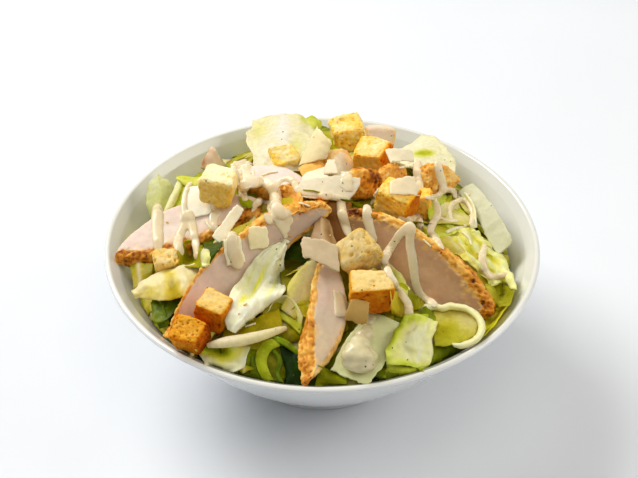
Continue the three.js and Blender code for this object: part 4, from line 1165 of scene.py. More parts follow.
# left front: a stub of rib, a broad cream leaf, the dark leaves round it
leaf([[(201, 249.5, 5), (205, 247.5, 6), (209, 249.5, 5)],
      [(201.3, 257, 5), (205.5, 256, 6.2), (209.8, 257, 5)],
      [(202, 266, 4), (206, 266, 5), (209.5, 265, 4)]],
     (0.03, 0.12, 0.08, 0.28), thick=2.0, wrinkle=0.1, seed=18, veins=0)
# the olive-gold band down the middle of the cream leaf is painted shade along its fold
leaf([[(133, 292.5, "z", 81), (141, 283, "z", 85), (152, 274, "z", 88), (165, 269.5, "z", 90), (180, 267.5, "z", 91), (195, 265, "z", 92), (207, 263, "z", 92)],
      [(134, 295, "z", 82.5), (147, 287, "z", 87), (158, 283, "z", 89.5), (170, 281, "z", 91), (183, 279, "z", 92.5), (195, 275, "z", 93), (207, 267, "z", 93)],
      [(136, 297.5, "z", 81), (148, 299, "z", 84), (160, 300.5, "z", 86), (172, 300, "z", 87), (183, 296, "z", 89), (192, 288, "z", 91), (206, 272, "z", 92)]],
     (0.03, 0.0, 0.16, 0.24), ruffle=0.6, wrinkle=0.7, thick=1.0, seed=19, warm=0.8, pale=True, gain=(0.96, 0.90, 0.70), pleat=(0.6, 3.0, 16.0),
     spots=[(0.52, 0.60, 0.075, 0.60, 0.58), (0.55, 0.92, 0.12, 0.20, 0.56), (0.2, 0.80, 0.15, 0.25, 0.26), (0.68, 0.5, 0.06, 0.6, 0.03), (0.88, 0.9, 0.07, 0.3, 0.56)])
leaf([[(152, 298, "z", 82), (162, 299, "z", 83), (173, 298, "z", 84), (186, 296, "z", 85)],
      [(152, 311, "z", 80.5), (161, 311, "z", 81.5), (169, 311, "z", 82), (178, 307, "z", 83)],
      [(156, 324, "z", 78.5), (161, 324, "z", 79.5), (166, 322, "z", 80), (171, 317, "z", 81)]],
     (0.84, 0.92, 0.74, 0.88), ruffle=1.6, seed=20, wave=6)
leaf([[(187, 279, "z", 88), (192, 277, "z", 89), (198, 277, "z", 89)],
      [(183, 288, "z", 86), (188, 287, "z", 87), (193, 285, "z", 88)],
      [(177, 297, "z", 84), (182, 297, "z", 85), (188, 294, "z", 86)]],
     (0.56, 0.60, 0.52, 0.58), ruffle=0.4, seed=57)
leaf([[(130, 263, "z", 80), (137, 262, "z", 82), (146, 263, "z", 83), (153, 264, "z", 84)],
      [(132, 276, "z", 79), (139, 275, "z", 81), (146, 274, "z", 82), (153, 272, "z", 83)],
      [(134, 289, "z", 77), (140, 286, "z", 79), (147, 281, "z", 80), (153, 277, "z", 81)]],
     (0.55, 0.62, 0.36, 0.55), ribs=[(0.38, 0.38, 3.0, 0.14, 1.0)], ruffle=0.7, seed=21, gain=(0.76, 0.66, 0.7), warm=0.3)
leaf([[(176, 243, 1.2), (190, 241, 1.6), (203, 245, 1.2)],
      [(178, 257, 1.5), (191, 256, 2.0), (203, 257, 1.5)],
      [(176, 270, 1.0), (190, 268, 1.5), (203, 267, 1.0)]],
     (0.58, 0.66, 0.60, 0.64), ruffle=0.8, seed=22, warm=0.5)
leaf([[(203, 243, 0.6), (213, 240, 0.8), (223, 241, 0.6)],
      [(206, 256, 0.8), (213, 254, 1.0), (219, 250, 0.8)],
      [(208, 266, 0.6), (211, 262, 0.8), (215, 257, 0.6)]],
     (0.88, 0.90, 0.84, 0.92), ruffle=0.6, seed=23)
leaf([[(238, 197, 1.5), (247, 194, 2), (256, 193, 1.5)],
      [(240, 203, 1.5), (249, 202, 2.2), (258, 200, 1.5)],
      [(243, 207, 1.0), (250, 208, 1.5), (258, 206, 1.0)]],
     (0.58, 0.66, 0.60, 0.72), ruffle=0.6, seed=24)
leaf([[(150, 302, "z", 80), (156, 300, "z", 82), (162, 300, "z", 84)],
      [(154, 316, "z", 78), (160, 314, "z", 80), (166, 314, "z", 82)],
      [(159, 329, "z", 76), (164, 327, "z", 78), (169, 323, "z", 80)]],
     (0.80, 0.84, 0.86, 0.80), ruffle=0.5, seed=25)
# centre: the tall pale leaf lying down the front of the big slice
leaf([[(284, 241, 1.5), (285, 239.5, 1.8), (286.3, 239.5, 1.8), (287.5, 242, 1.5)],
      [(270, 246, 1.4), (277, 249, 3.0), (283, 251, 3.8), (286, 248, 3.6)],
      [(258, 255, 1.4), (267, 261, 4.0), (276, 265, 5.2), (284, 262, 5.0)],
      [(247, 269, 1.6), (259, 277, 4.8), (271, 281, 6.4), (283.5, 278, 6.2)],
      [(240, 280.5, 2.0), (252, 291, 5.8), (265, 296, 7.4), (284, 293, 7.0)],
      [(231, 291, "z", 99.5), (243, 303, "z", 99), (257, 309, "z", 97), (273, 303, "z", 95.5)],
      [(229, 306, "z", 97.5), (237, 314, "z", 97.5), (248, 318, "z", 95.5), (260, 313, "z", 93)],
      [(224.5, 320, "z", 95), (231, 324, "z", 95.5), (239, 325, "z", 94.5), (247, 319, "z", 92)],
      [(225, 328, "z", 93), (230, 332, "z", 93), (236, 331.5, "z", 92.5), (240.5, 326, "z", 91.5)]],
     (0.10, 0.03, 0.05, 0.02), edge=0.0, ribs=[(0.60, 0.50, 6.0, 0.0, 4.6), (0.92, 0.88, 2.6, 0.0, 1.4), (0.14, 0.18, 2.4, 0.02, 1.0)],
     ruffle=0.9, wrinkle=0.8, thick=1.1, seed=26, veins=0.0, warm=0.25, pale=True, gain=(1.40, 1.30, 0.99), pleat=(0.6, 5.0, 30.0),
     spots=[(0.36, 0.44, 0.045, 0.16, 0.48), (0.76, 0.42, 0.04, 0.22, 0.24), (0.30, 0.66, 0.06, 0.07, 0.34), (0.14, 0.42, 0.05, 0.12, 0.22)])
leaf([[(268, 306, "z", 94), (279, 296.5, "z", 95.5), (287, 295, "z", 95.5), (296, 303, "z", 94), (303, 316, "z", 91)],
      [(266, 311, "z", 92), (278, 303, "z", 92.5), (288, 303, "z", 92), (296, 311, "z", 91), (302, 324, "z", 88.5)],
      [(262, 319, "z", 89.5), (274, 314, "z", 89.5), (285, 315, "z", 89), (294, 323, "z", 87.5), (301, 334, "z", 85.5)]],
     (0.10, 0.20, 0.44, 0.42), ruffle=0.9, seed=27, thick=0.8, spots=[(0.55, 0.60, 0.16, 0.30, 0.62), (0.25, 0.6, 0.14, 0.3, 0.50)])
leaf([[(274, 306, "z", 92), (284, 313, "z", 91), (293, 319, "z", 89.5), (303, 327, "z", 87.5)],
      [(271, 311, "z", 91.5), (281, 319, "z", 90.5), (290, 325, "z", 89), (300, 334, "z", 87)]],
     (0.42, 0.46, 0.50, 0.48), ruffle=0.3, seed=28, thick=0.9)
leaf([[(238, 331, 2), (251, 322, 3), (264, 314, 3), (279, 309, 2)],
      [(226, 338, 2.5), (246, 332, 3.5), (263, 325, 3.5), (281, 319, 2.5)],
      [(208, 343.5, 2), (234, 341, 3), (258, 335, 3), (283, 327, 2)]],
     (0.60, 0.55, 0.54, 0.62), warm=0.85, ruffle=0.5, seed=29, gain=(0.86, 0.89, 0.28))
leaf([[(207, 344.5, "z", 87), (226, 338, "z", 90.5), (246, 334.5, "z", 91.5), (266, 330.5, "z", 91.5), (285, 327, "z", 90)],
      [(207, 346, "z", 87), (227, 342.5, "z", 91.5), (247, 339.5, "z", 92.5), (267, 334.5, "z", 92), (286, 328, "z", 90)],
      [(208, 347, "z", 86), (229, 347, "z", 89.5), (249, 344, "z", 90), (268, 338, "z", 90), (286, 329.5, "z", 89)]],
     (0.0, 0.10, 0.12, 0.12), thick=2.4, wrinkle=0.12, seed=30, veins=0, gain=(0.92, 0.86, 0.80))
leaf([[(195, 350, 2.5), (207, 346.5, 2.5), (222, 346, 2.5), (238, 345, 3.5), (251, 346, 4)],
      [(199, 355, 4), (212, 354, 3), (225, 356, 3.2), (238, 357, 4.5), (247, 356, 4.5)],
      [(203, 360, 4.5), (214, 362, 5), (225, 365, 5), (237, 365, 5.5), (246, 363, 4.5)],
      [(206, 364.5, 3.5), (216, 368.5, 4.5), (226, 371.5, 4.5), (236, 371, 4.5), (243.5, 368, 3.5)]],
     (0.26, 0.12, 0.10, 0.16), edge=-0.04, ruffle=0.5, seed=31, pale=True, pleat=(0.3, 4.0, 16.0), gain=(1.34, 1.38, 1.15), spots=[(0.44, 0.12, 0.36, 0.34, 0.78), (0.30, 0.02, 0.2, 0.2, 0.74)])
# front: curled strips, a long green leaf, and a deep green leaf behind them darkened nearly to black: dark leaf colour
# and painted shade
leaf([[(279, 337, 4), (265, 341, 4.5), (257.5, 351, 4), (256, 361, 4), (259, 372, 3), (265, 382, 2)],
      [(280, 341, 4.5), (268, 345.5, 5.2), (262, 354, 5), (261, 362, 5), (264, 372, 4), (270, 383, 3)],
      [(280, 346, 3.5), (272, 350, 4), (267.5, 357, 3.5), (267, 364, 3.5), (270, 373, 3), (276, 384, 2)]],
     (0.56, 0.62, 0.62, 0.58), ruffle=0.3, seed=32, thick=0.9, edge=-0.08)
leaf([[(270, 349, 3), (276, 356, 3), (278, 364, 3), (275, 371, 2.5), (279, 381, 2)],
      [(275, 350, 3.5), (281, 357, 3.5), (282.5, 365, 3.5), (279.5, 373, 3), (284, 382, 2.5)]],
     (0.76, 0.82, 0.80, 0.82), ruffle=0.3, seed=33, thick=0.8)
leaf([[(272, 335.5, 5), (282, 338, 5), (293, 345.5, 4.5), (304, 354, 3)],
      [(274, 341, 5), (282, 344.5, 5), (291.5, 351, 4.5), (302, 361, 3)]],
     (0.68, 0.72, 0.72, 0.76), ruffle=0.4, seed=34, thick=0.8, gain=(0.8, 0.9, 0.4))
leaf([[(279, 346, 2.2), (291, 349, 2.6), (306, 360, 2.2)],
      [(284, 364, 2.4), (295, 367, 2.8), (307, 373, 2.4)],
      [(287, 384, 1.6), (298, 386, 1.8), (310, 387, 1.6)]],
     (0.97, 0.98, 0.92, 0.88), ruffle=0.8, seed=35, gain=(0.3, 0.5, 0.08))
leaf([[(243, 350, 2.8), (251, 349, 3.2), (259, 350, 3.0)],
      [(241, 364, 2.8), (250, 365, 3.2), (258, 366, 3.0)],
      [(233, 374, 3.2), (246, 378, 3.6), (261, 381, 3.2)]],
     (0.76, 0.84, 0.70, 0.80), ruffle=0.6, seed=36, spots=[(0.55, 0.6, 0.05, 0.3, 0.98)])
leaf([[(318, 365, 1.2), (333, 371, 1.5), (348, 377, 1.2)],
      [(317, 377, 1.2), (332, 380, 1.5), (347, 383, 1.2)],
      [(314, 386, 0.8), (331, 387.5, 0.8), (348, 387, 0.8)]],
     (0.72, 0.74, 0.70, 0.72), ruffle=0.6, seed=37, warm=0.4)
leaf([[(372, 384, 0.8), (384, 374, 1.2), (395, 367, 1.5), (412, 366, 1.5)],
      [(374, 387, 0.8), (391, 382.5, 1.0), (408, 378, 1.2), (424, 371, 1.2)]],
     (0.70, 0.66, 0.72, 0.70), warm=0.2, ruffle=0.4, seed=38)
# right of the middle slice: olive leaf under the gap, the sage leaf, the bright leaf
leaf([[(280, 258, "z", 93), (296, 257, "z", 93.5), (312, 259, "z", 94)],
      [(280, 274, "z", 93), (296, 272, "z", 94), (312, 274, "z", 94)],
      [(282, 289, "z", 92), (297, 288, "z", 93), (312, 290, "z", 93)],
      [(288, 302, "z", 91), (300, 302, "z", 91.5), (312, 305, "z", 91)],
      [(296, 316, "z", 89), (303, 318, "z", 89.5), (311, 321, "z", 89)]],
     (0.80, 0.76, 0.56, 0.58), warm=0.55, ruffle=1.2, seed=39, gain=(0.88, 0.80, 0.32), spots=[(0.6, 0.50, 0.3, 0.10, 0.50), (0.4, 0.10, 0.6, 0.14, 0.86)])
# a near-black leaf laid over the dark gap above: painted shade
leaf([[(276, 246, "z", 96), (296, 238, "z", 98), (318, 236, "z", 98)],
      [(278, 254, "z", 94), (296, 250, "z", 95), (316, 248, "z", 96)],
      [(280, 264, "z", 92), (296, 262, "z", 93), (314, 262, "z", 94)]],
     (0.97, 0.95, 0.94, 0.92), ruffle=0.6, seed=58)
leaf([[(388, 261, 1.2), (396, 269, 1.5), (404, 279, 1.2), (409, 288, 1.0)],
      [(386, 270, 1.5), (393, 280, 2.2), (401, 290, 2.0), (408, 300, 1.2)],
      [(390, 278, 1.5), (397, 290, 2.0), (405, 302, 2.0), (411, 313, 1.5)]],
     (0.28, 0.30, 0.42, 0.46), ruffle=0.7, seed=40, edge=-0.05)
leaf([[(390, 291, 0.8), (398, 292, 1.0), (408, 296, 1.2)],
      [(390, 303, 0.8), (399, 305, 1.0), (409, 309, 1.2)],
      [(392, 314, 0.8), (399, 317, 1.0), (406, 318, 1.2)]],
     (0.46, 0.52, 0.46, 0.56), ruffle=0.4, seed=41, warm=0.6, gain=(1.2, 1.1, 1.4))
leaf([[(408, 289, 1.0), (416, 295, 1.2), (424, 301, 1.0)],
      [(408, 300, 1.0), (416, 303, 1.2), (424, 305, 1.0)],
      [(408, 312, 1.0), (414, 311, 1.2), (420, 309, 1.0)]],
     (0.74, 0.76, 0.70, 0.66), ruffle=0.4, seed=42, warm=0.6, gain=(1.09, 1.13, 1.13))
leaf([[(407, 313, 5), (416, 315, 5.5), (426, 317, 5.5), (436, 320, 5)],
      [(400, 322, 5), (412, 324, 6.5), (424, 325, 7), (437, 327, 5.5)],
      [(392, 336, 5), (405, 338, 7), (420, 338, 7.5), (432, 341, 5.5)],
      [(386.5, 351, 4.5), (402, 352, 6.5), (419, 353, 7), (433, 355, 5)],
      [(387, 364, 4), (402, 366, 5.5), (417, 367, 5.5), (430, 364, 4)]],
     (0.40, 0.22, 0.26, 0.14), ruffle=1.6, wrinkle=1.3, seed=43, edge=0.0, ribs=[(0.75, 0.65, 3.0, 0.04, 1.0), (0.35, 0.45, 2.0, 0.06, 0.8)], pale=True, pleat=(0.9, 3.4, 18.0),
     gain=(1.07, 1.16, 0.86), spots=[(0.04, 0.40, 0.10, 0.35, 0.60), (0.55, 0.45, 0.30, 0.30, 0.04), (0.5, 0.97, 0.4, 0.05, 0.50), (0.30, 0.08, 0.3, 0.08, 0.46)])
leaf([[(387, 363, 3), (403, 366, 4), (418, 367, 4), (431, 362, 3)],
      [(386, 369, 2), (402, 371, 3), (418, 370, 3), (430, 366, 2)],
      [(378, 382, 1), (395, 380, 1.5), (411, 375, 1.5), (424, 370, 1)]],
     (0.42, 0.50, 0.58, 0.58), ruffle=0.4, seed=44)
# front right: the curled leaf with a thick pale rim, and what shows inside it
leaf([[(412, 312, "z", 84), (419, 306, "z", 84.5), (427, 304.5, "z", 84.5), (434, 302.5, "z", 84.5), (441, 305, "z", 84.5), (449, 303, "z", 84.5), (457, 304.5, "z", 84.5), (467, 306, "z", 84.5), (477, 312, "z", 84.5), (484.5, 322, "z", 84.5), (484, 333, "z", 84.5), (478, 341.5, "z", 83), (467, 347, "z", 81.5), (454, 346.5, "z", 81)],
      [(412, 314.1, "z", 85), (419.7, 308.8, "z", 86), (428.4, 307.3, "z", 86.5), (435.4, 306, "z", 86.8), (442.4, 307.8, "z", 86.8), (449.7, 305.4, "z", 87), (457.7, 306.9, "z", 87), (467, 308.8, "z", 87), (475.6, 314.8, "z", 86.8), (481.7, 323.8, "z", 86.5), (481.2, 333.7, "z", 86), (475.6, 340.4, "z", 85), (465.6, 345.2, "z", 84), (453.3, 345.1, "z", 83.5)],
      [(413.4, 316.2, "z", 83.5), (421.1, 311.9, "z", 84), (429.1, 310.8, "z", 84.5), (436.1, 310.2, "z", 84.8), (443.1, 311.3, "z", 84.8), (450.4, 309.6, "z", 85), (458.4, 309.9, "z", 85), (466.3, 311.6, "z", 85), (473.5, 316.9, "z", 85), (478.2, 324.8, "z", 84.5), (477.4, 332.3, "z", 84.2), (471.7, 338.7, "z", 83.5), (462.1, 342.9, "z", 83), (451.9, 343.2, "z", 82.5)]],
     (0.03, 0.06, 0.12, 0.08), thick=1.3, wrinkle=0.3, seed=45, ruffle=0.3, veins=0.03, warm=0.3, pale=True, gain=(1.10, 1.01, 0.80))
leaf([[(433, 310, "z", 84), (445, 309, "z", 84), (457, 308, "z", 84), (468, 310, "z", 84), (478, 319, "z", 84)],
      [(433, 321, "z", 83.2), (445, 320, "z", 83), (456, 320, "z", 83), (467, 322, "z", 83), (477.5, 328, "z", 83.3)],
      [(433, 332, "z", 83.5), (445, 332, "z", 83.5), (456, 331, "z", 83), (466, 332, "z", 82.5), (475, 335, "z", 82.8)],
      [(435, 346, "z", 82.5), (445, 346, "z", 82.8), (452, 345, "z", 82.4), (459, 343, "z", 82), (466, 341, "z", 82)]],
     (0.36, 0.26, 0.54, 0.44), ruffle=0.2, wrinkle=0.3, seed=46, warm=0.45, veins=0.02, gain=(0.83, 0.79, 0.68), spots=[(0.70, 0.30, 0.30, 0.30, 0.24), (0.25, 0.65, 0.30, 0.22, 0.56), (0.15, 0.2, 0.1, 0.2, 0.34)])
leaf([[(412, 315, 3.5), (424, 314, 4), (436, 317, 3.5)],
      [(412, 326, 3), (424, 325, 3.5), (434, 323, 3)]],
     (0.56, 0.46, 0.62, 0.58), ruffle=0.4, seed=47, gain=(1.1, 1.12, 1.15))
# right: frilled yellow green leaves between the long slice and the wall
leaf([[(447, 237, 2.5), (457, 232, 3.5), (468, 229, 4.5), (479, 231, 4)],
      [(452, 247, 2.5), (463, 243, 4.5), (475, 241, 5), (489, 243, 4)],
      [(460, 257, 2.5), (470, 254, 4.5), (482, 252, 5.5), (498, 254, 4)],
      [(472, 266, 2.5), (479, 264, 4.5), (489, 263, 5.5), (507, 264, 4)],
      [(482, 276, 2.5), (488, 275, 4.5), (498, 275, 5), (514, 277, 3.5)],
      [(491, 287, 2.5), (496, 285, 3.5), (504, 284, 4), (516, 290, 2.5)]],
     (0.40, 0.18, 0.20, 0.12), ruffle=2.2, wave=6.5, wrinkle=1.2, seed=48, warm=0.45, gain=(1.08, 1.08, 0.86), pleat=(0.7, 3.5, 14.0),
     ribs=[(0.50, 0.58, 3.0, 0.05, 1.2), (0.22, 0.16, 2.0, 0.08, 0.9), (0.86, 0.84, 2.2, 0.05, 0.9)],
     spots=[(0.70, 0.50, 0.12, 0.10, 0.56), (0.36, 0.42, 0.09, 0.16, 0.52), (0.72, 0.20, 0.08, 0.10, 0.50), (0.40, 0.75, 0.07, 0.08, 0.56)])
leaf([[(484, 283, 1.5), (500, 283, 2), (516, 290, 1.5)],
      [(490, 296, 1.2), (502, 296, 1.5), (513, 299, 1.0)],
      [(496, 308, 1.0), (503, 307, 1.0), (508, 306, 0.8)]],
     (0.44, 0.58, 0.52, 0.58), ruffle=0.8, seed=49, warm=0.6, gain=(0.8, 0.85, 1.2))
leaf([[(494, 300, 1.0), (501, 303, 1.2), (508, 306, 0.8)],
      [(484, 321, 1.0), (492, 321, 1.2), (500, 318, 0.8)],
      [(470, 343, 0.8), (478, 341, 1.0), (486, 335, 0.8)]],
     (0.50, 0.50, 0.60, 0.58), ruffle=0.5, seed=50, warm=0.5, gain=(1.3, 1.3, 1.5))
# right of the croutons: green pockets with pale curled edges
leaf([[(425, 198, 1.5), (438, 195, 2), (452, 194, 2.5), (466, 197, 2)],
      [(427, 211, 1.5), (441, 210, 1.2), (455, 210, 1.5), (470, 213, 2)],
      [(430, 224, 1.5), (444, 223, 1.2), (458, 222, 1.5), (473, 226, 2)],
      [(436, 238, 1.5), (448, 236, 2), (460, 233, 2.5), (474, 233, 2.5)]],
     (0.46, 0.40, 0.42, 0.30), ruffle=1.0, wrinkle=1.1, seed=51, warm=0.05, gain=(0.98, 1.04, 1.0),
     spots=[(0.30, 0.30, 0.08, 0.14, 0.66), (0.75, 0.38, 0.14, 0.25, 0.50), (0.42, 0.34, 0.10, 0.12, 0.50), (0.30, 0.68, 0.10, 0.15, 0.58)])
leaf([[(459, 192, 2.5), (467, 194, 3), (473, 203, 3), (476, 215, 3), (477, 228, 3)],
      [(456, 197, 3.5), (463, 198.5, 4.5), (469, 206, 4.5), (472, 216, 4.5), (472.5, 228, 4)],
      [(455, 201, 2.5), (461, 202.5, 3), (466.5, 208, 3), (469, 217, 3), (468.5, 226, 2.5)]],
     (0.06, 0.08, 0.18, 0.16), thick=1.0, ruffle=0.3, seed=52, veins=0.03, pale=True)
leaf([[(438, 198, 2.5), (441, 191, 3), (447, 188, 3.5), (453, 189.5, 3.5), (457, 196, 3)],
      [(441, 201, 3), (444, 195, 4), (448, 192.5, 4.5), (452, 193.5, 4.5), (454, 199, 3.5)]],
     (0.06, 0.10, 0.16, 0.18), thick=0.9, ruffle=0.2, seed=53, veins=0.02, pale=True)
# back right: a pale leaf against the wall, with a green patch, and the thin dark leaf in front
leaf([[(389, 148, "z", 90), (404, 147, "z", 90), (417, 140, "z", 90), (426, 135.5, "z", 90), (438, 143, "z", 89)],
      [(391, 154, "z", 92), (411, 151, "z", 92), (424, 148, "z", 92), (437, 149, "z", 91), (450, 153, "z", 89.5)],
      [(394, 160, "z", 94), (412, 160, "z", 94), (427, 159, "z", 94), (441, 160, "z", 92.5), (456, 163, "z", 90)],
      [(399, 166, "z", 94), (416, 168, "z", 94), (430, 170, "z", 94), (442, 172, "z", 92), (454, 173, "z", 90)]],
     (0.08, 0.10, 0.06, 0.12), ruffle=1.2, wrinkle=0.16, wave=10, seed=54, gain=(0.96, 0.95, 1.02), pleat=(0.4, 5.0, 14.0), spots=[(0.44, 0.50, 0.14, 0.11, 0.56), (0.56, 0.52, 0.10, 0.09, 0.52)])
leaf([[(327, 199.5, 1.0), (344, 199, 1.5), (360, 203.5, 1.5), (374, 207.5, 1.2)],
      [(330, 203, 1.0), (345, 204.5, 1.8), (360, 208, 1.8), (375, 212, 1.2)]],
     (0.86, 0.74, 0.90, 0.60), ruffle=0.2, seed=55, thick=0.8, warm=0.3)
leaf([[(303, 190, 1.2), (313, 191, 1.5), (323, 193, 1.2)],
      [(304, 199, 1.2), (314, 201, 1.5), (323, 202, 1.2)]],
     (0.60, 0.66, 0.68, 0.72), ruffle=0.3, seed=56, warm=0.3)
v, f, c = join(LEAVES)
romaine = build("romaine_leaves", v, f, M_LEAF, tint=c, replaces=["lettuce_heap"])
romaine.data.materials.append(M_LEAF_PALE)
romaine.data.polygons.foreach_set("material_index", np.repeat([1 if p else 0 for p in PALE], [len(part[1]) for part in LEAVES]).astype(np.int32))
romaine.data.update()

# ------------------------------------------------------------------ browned flakes of skin along the big slice
FLAKES = []
leaf([[(276, 192, 1.2), (284, 186, 1.8), (293, 187, 2.2), (301, 193, 1.6)],
      [(275, 203, 1.2), (284, 199, 2.0), (294, 201, 2.4), (304, 204, 1.8)],
      [(280, 212, 1.0), (289, 213, 1.6), (298, 213, 1.8), (308, 210, 1.4)]],
     (0.45, 0.30, 0.25, 0.40), ruffle=0.9, wrinkle=1.2, wave=4.0, thick=1.0, seed=61, veins=0, into=FLAKES, stops=FLAKE_STOPS)
leaf([[(300, 205, 1.2), (310, 201, 1.6), (321, 197, 1.6), (331, 197, 1.0)],
      [(299, 213, 1.2), (309, 210, 1.6), (320, 205, 1.6), (330, 202, 1.0)]],
     (0.35, 0.45, 0.40, 0.55), ruffle=0.7, wrinkle=1.0, wave=4.0, thick=0.9, seed=62, veins=0, into=FLAKES, stops=FLAKE_STOPS)
leaf([[(246, 215, 1.0), (254, 210, 1.4), (262, 205, 1.4), (268, 203, 1.0)],
      [(249, 221, 1.0), (257, 217, 1.4), (264, 212, 1.4), (270, 209, 1.0)]],
     (0.40, 0.50, 0.35, 0.60), ruffle=0.7, wrinkle=1.0, wave=3.5, thick=0.9, seed=63, veins=0, into=FLAKES, stops=FLAKE_STOPS)
leaf([[(298, 168, "z", 105), (306, 164, "z", 106), (315, 161, "z", 106), (324, 160, "z", 105)],
      [(301, 174, "z", 106), (309, 170, "z", 107.5), (317, 167.5, "z", 107.5), (326, 166, "z", 106)],
      [(304, 179, "z", 106), (311, 177, "z", 107), (319, 174, "z", 107), (327, 172, "z", 106)]],
     (0.22, 0.30, 0.30, 0.40), ruffle=0.9, wrinkle=1.0, wave=4.0, thick=1.6, seed=64, veins=0, into=FLAKES, stops=FLAKE_STOPS)
v, f, c = join(FLAKES)
build("browned_skin_flakes", v, f, M_BREAD, tint=c)

# the upper end of the middle slice, seen between the two long ones, coloured dim as painted shade, and behind it a
# sheet of meat coloured dark brown as painted shade
MEAT_PAINTED_DEEP_SHADE = [(0.0, (98, 50, 5)), (0.5, (152, 100, 22)), (1.0, (182, 134, 58))]
MEAT_PAINTED_HALF_SHADE = [(0.0, (118, 84, 40)), (0.5, (160, 126, 80)), (1.0, (190, 162, 118))]
SHADED = []
leaf([[(321, 199, "z", 107.5), (334, 199, "z", 108), (351, 203, "z", 108)],
      [(322, 214, "z", 103), (335, 214, "z", 103.5), (352, 216, "z", 103)],
      [(324, 230, "z", 99), (336, 231, "z", 99.5), (352, 231, "z", 99)],
      [(328, 248, "z", 95), (339, 249, "z", 95.5), (352, 248, "z", 95)]],
     (0.30, 0.50, 0.12, 0.10), ruffle=0.4, wrinkle=0.5, thick=4.0, seed=71, veins=0, into=SHADED, stops=MEAT_PAINTED_DEEP_SHADE)
v, f, c = join(SHADED)
build("sliced_chicken_f_end_painted_shade", v, f, M_MEAT, tint=c, values={"crust": np.zeros(len(v))}, replaces=["chicken_f"])
UPPER = []
leaf([[(318, 223, "z", 106.5), (322, 217.5, "z", 107.5), (327, 221, "z", 107)],
      [(314, 231, "z", 106.5), (322, 229, "z", 107.8), (331, 230, "z", 107)],
      [(311, 240, "z", 106), (322, 239, "z", 107.5), (334, 239, "z", 107)],
      [(312, 250, "z", 105.5), (324, 250, "z", 106.5), (338, 250, "z", 106)],
      [(315, 262, "z", 104.5), (326, 263, "z", 105.5), (337, 262, "z", 105)]],
     (0.40, 0.25, 0.55, 0.50), ruffle=0.3, wrinkle=0.3, thick=4.5, seed=72, veins=0, into=UPPER, stops=MEAT_PAINTED_HALF_SHADE,
     ribs=[(0.50, 0.62, 2.0, 0.75, 1.6), (0.98, 0.94, 1.4, 0.6, 1.0)], spots=[(0.78, 0.4, 0.08, 0.3, 0.05)])
v, f, c = join(UPPER)
build("sliced_chicken_d_end", v, f, M_MEAT, tint=c, values={"crust": np.zeros(len(v))}, replaces=["chicken_d"])
# the pointed tip of a slice at the back left, browned along its left edge
TIP = []
leaf([[(211.3, 148.3, "z", 95.5), (213, 147.2, "z", 96), (215, 148.8, "z", 95.5)],
      [(207.3, 154.5, "z", 92.5), (213, 154, "z", 93.3), (218, 155, "z", 92.2)],
      [(204.3, 161, "z", 89), (213, 161.5, "z", 90.3), (222, 161, "z", 88.5)],
      [(202.5, 168, "z", 85), (212, 170, "z", 86), (226, 168, "z", 84.5)]],
     (0.30, 0.52, 0.34, 0.72), ruffle=0.5, wrinkle=0.5, wave=4.0, thick=4.5, seed=74, veins=0, into=TIP,
     stops=[(0.0, (172, 96, 26)), (0.28, (218, 172, 124)), (0.55, (240, 218, 190)), (1.0, (250, 234, 212))],
     spots=[(0.02, 0.72, 0.16, 0.26, 0.02), (0.95, 0.62, 0.10, 0.10, 0.2), (0.3, 0.0, 0.4, 0.10, 0.28)])
v, f, c = join(TIP)
build("sliced_chicken_j", v, f, M_MEAT, tint=c, values={"crust": np.zeros(len(v))}, replaces=["chicken_j"])
# scraps of shaved cheese beside the big shaving
SCRAPS = []
leaf([[(301, 178, "z", 108), (308, 172.5, "z", 109), (317, 170, "z", 109), (326, 167, "z", 109)],
      [(303, 181, "z", 109.5), (311, 178, "z", 110), (319, 177, "z", 110), (328, 175, "z", 110)],
      [(308, 184, "z", 109.5), (315, 183, "z", 110), (322, 183, "z", 110), (330, 181, "z", 110)]],
     (0.4, 0.5, 0.6, 0.5), ruffle=0.4, wrinkle=0.4, thick=1.2, seed=73, veins=0, into=SCRAPS,
     stops=[(0.0, (236, 222, 184)), (0.5, (244, 232, 198)), (1.0, (250, 242, 216))])
v, f, c = join(SCRAPS)
build("cheese_scraps", v, f, M_CHEESE, tint=c)

# ------------------------------------------------------------------ dressing: lines, drips and pools on what lies below
carriers = tree_of([o for o in SURFACES])
_sph = bmesh.new()
bmesh.ops.create_icosphere(_sph, subdivisions=2, radius=1.0)
SPH_V = np.array([v.co[:] for v in _sph.verts])
SPH_F = np.array([[v.index for v in f.verts] for f in _sph.faces])
_sph.free()


def blobs(samples):
    """samples: centre, radius across, radius up, normal, stretch direction and factor -> one soup of flattened balls."""
    vs, fs, n = [], [], 0
    for c, rad, up, nrm, along, ext in samples:
        z = nrm / np.linalg.norm(nrm)
        x = along - (along @ z) * z
        if np.linalg.norm(x) < 1e-6:
            x = np.cross(z, [0.3, 0.5, 0.8])
        x = x / np.linalg.norm(x)
        y = np.cross(z, x)
        vs.append(c + SPH_V * np.array([rad * ext, rad, up]) @ np.stack([x, y, z]))
        fs.append(SPH_F + n)
        n += len(SPH_V)
    return np.concatenate(vs), np.concatenate(fs)


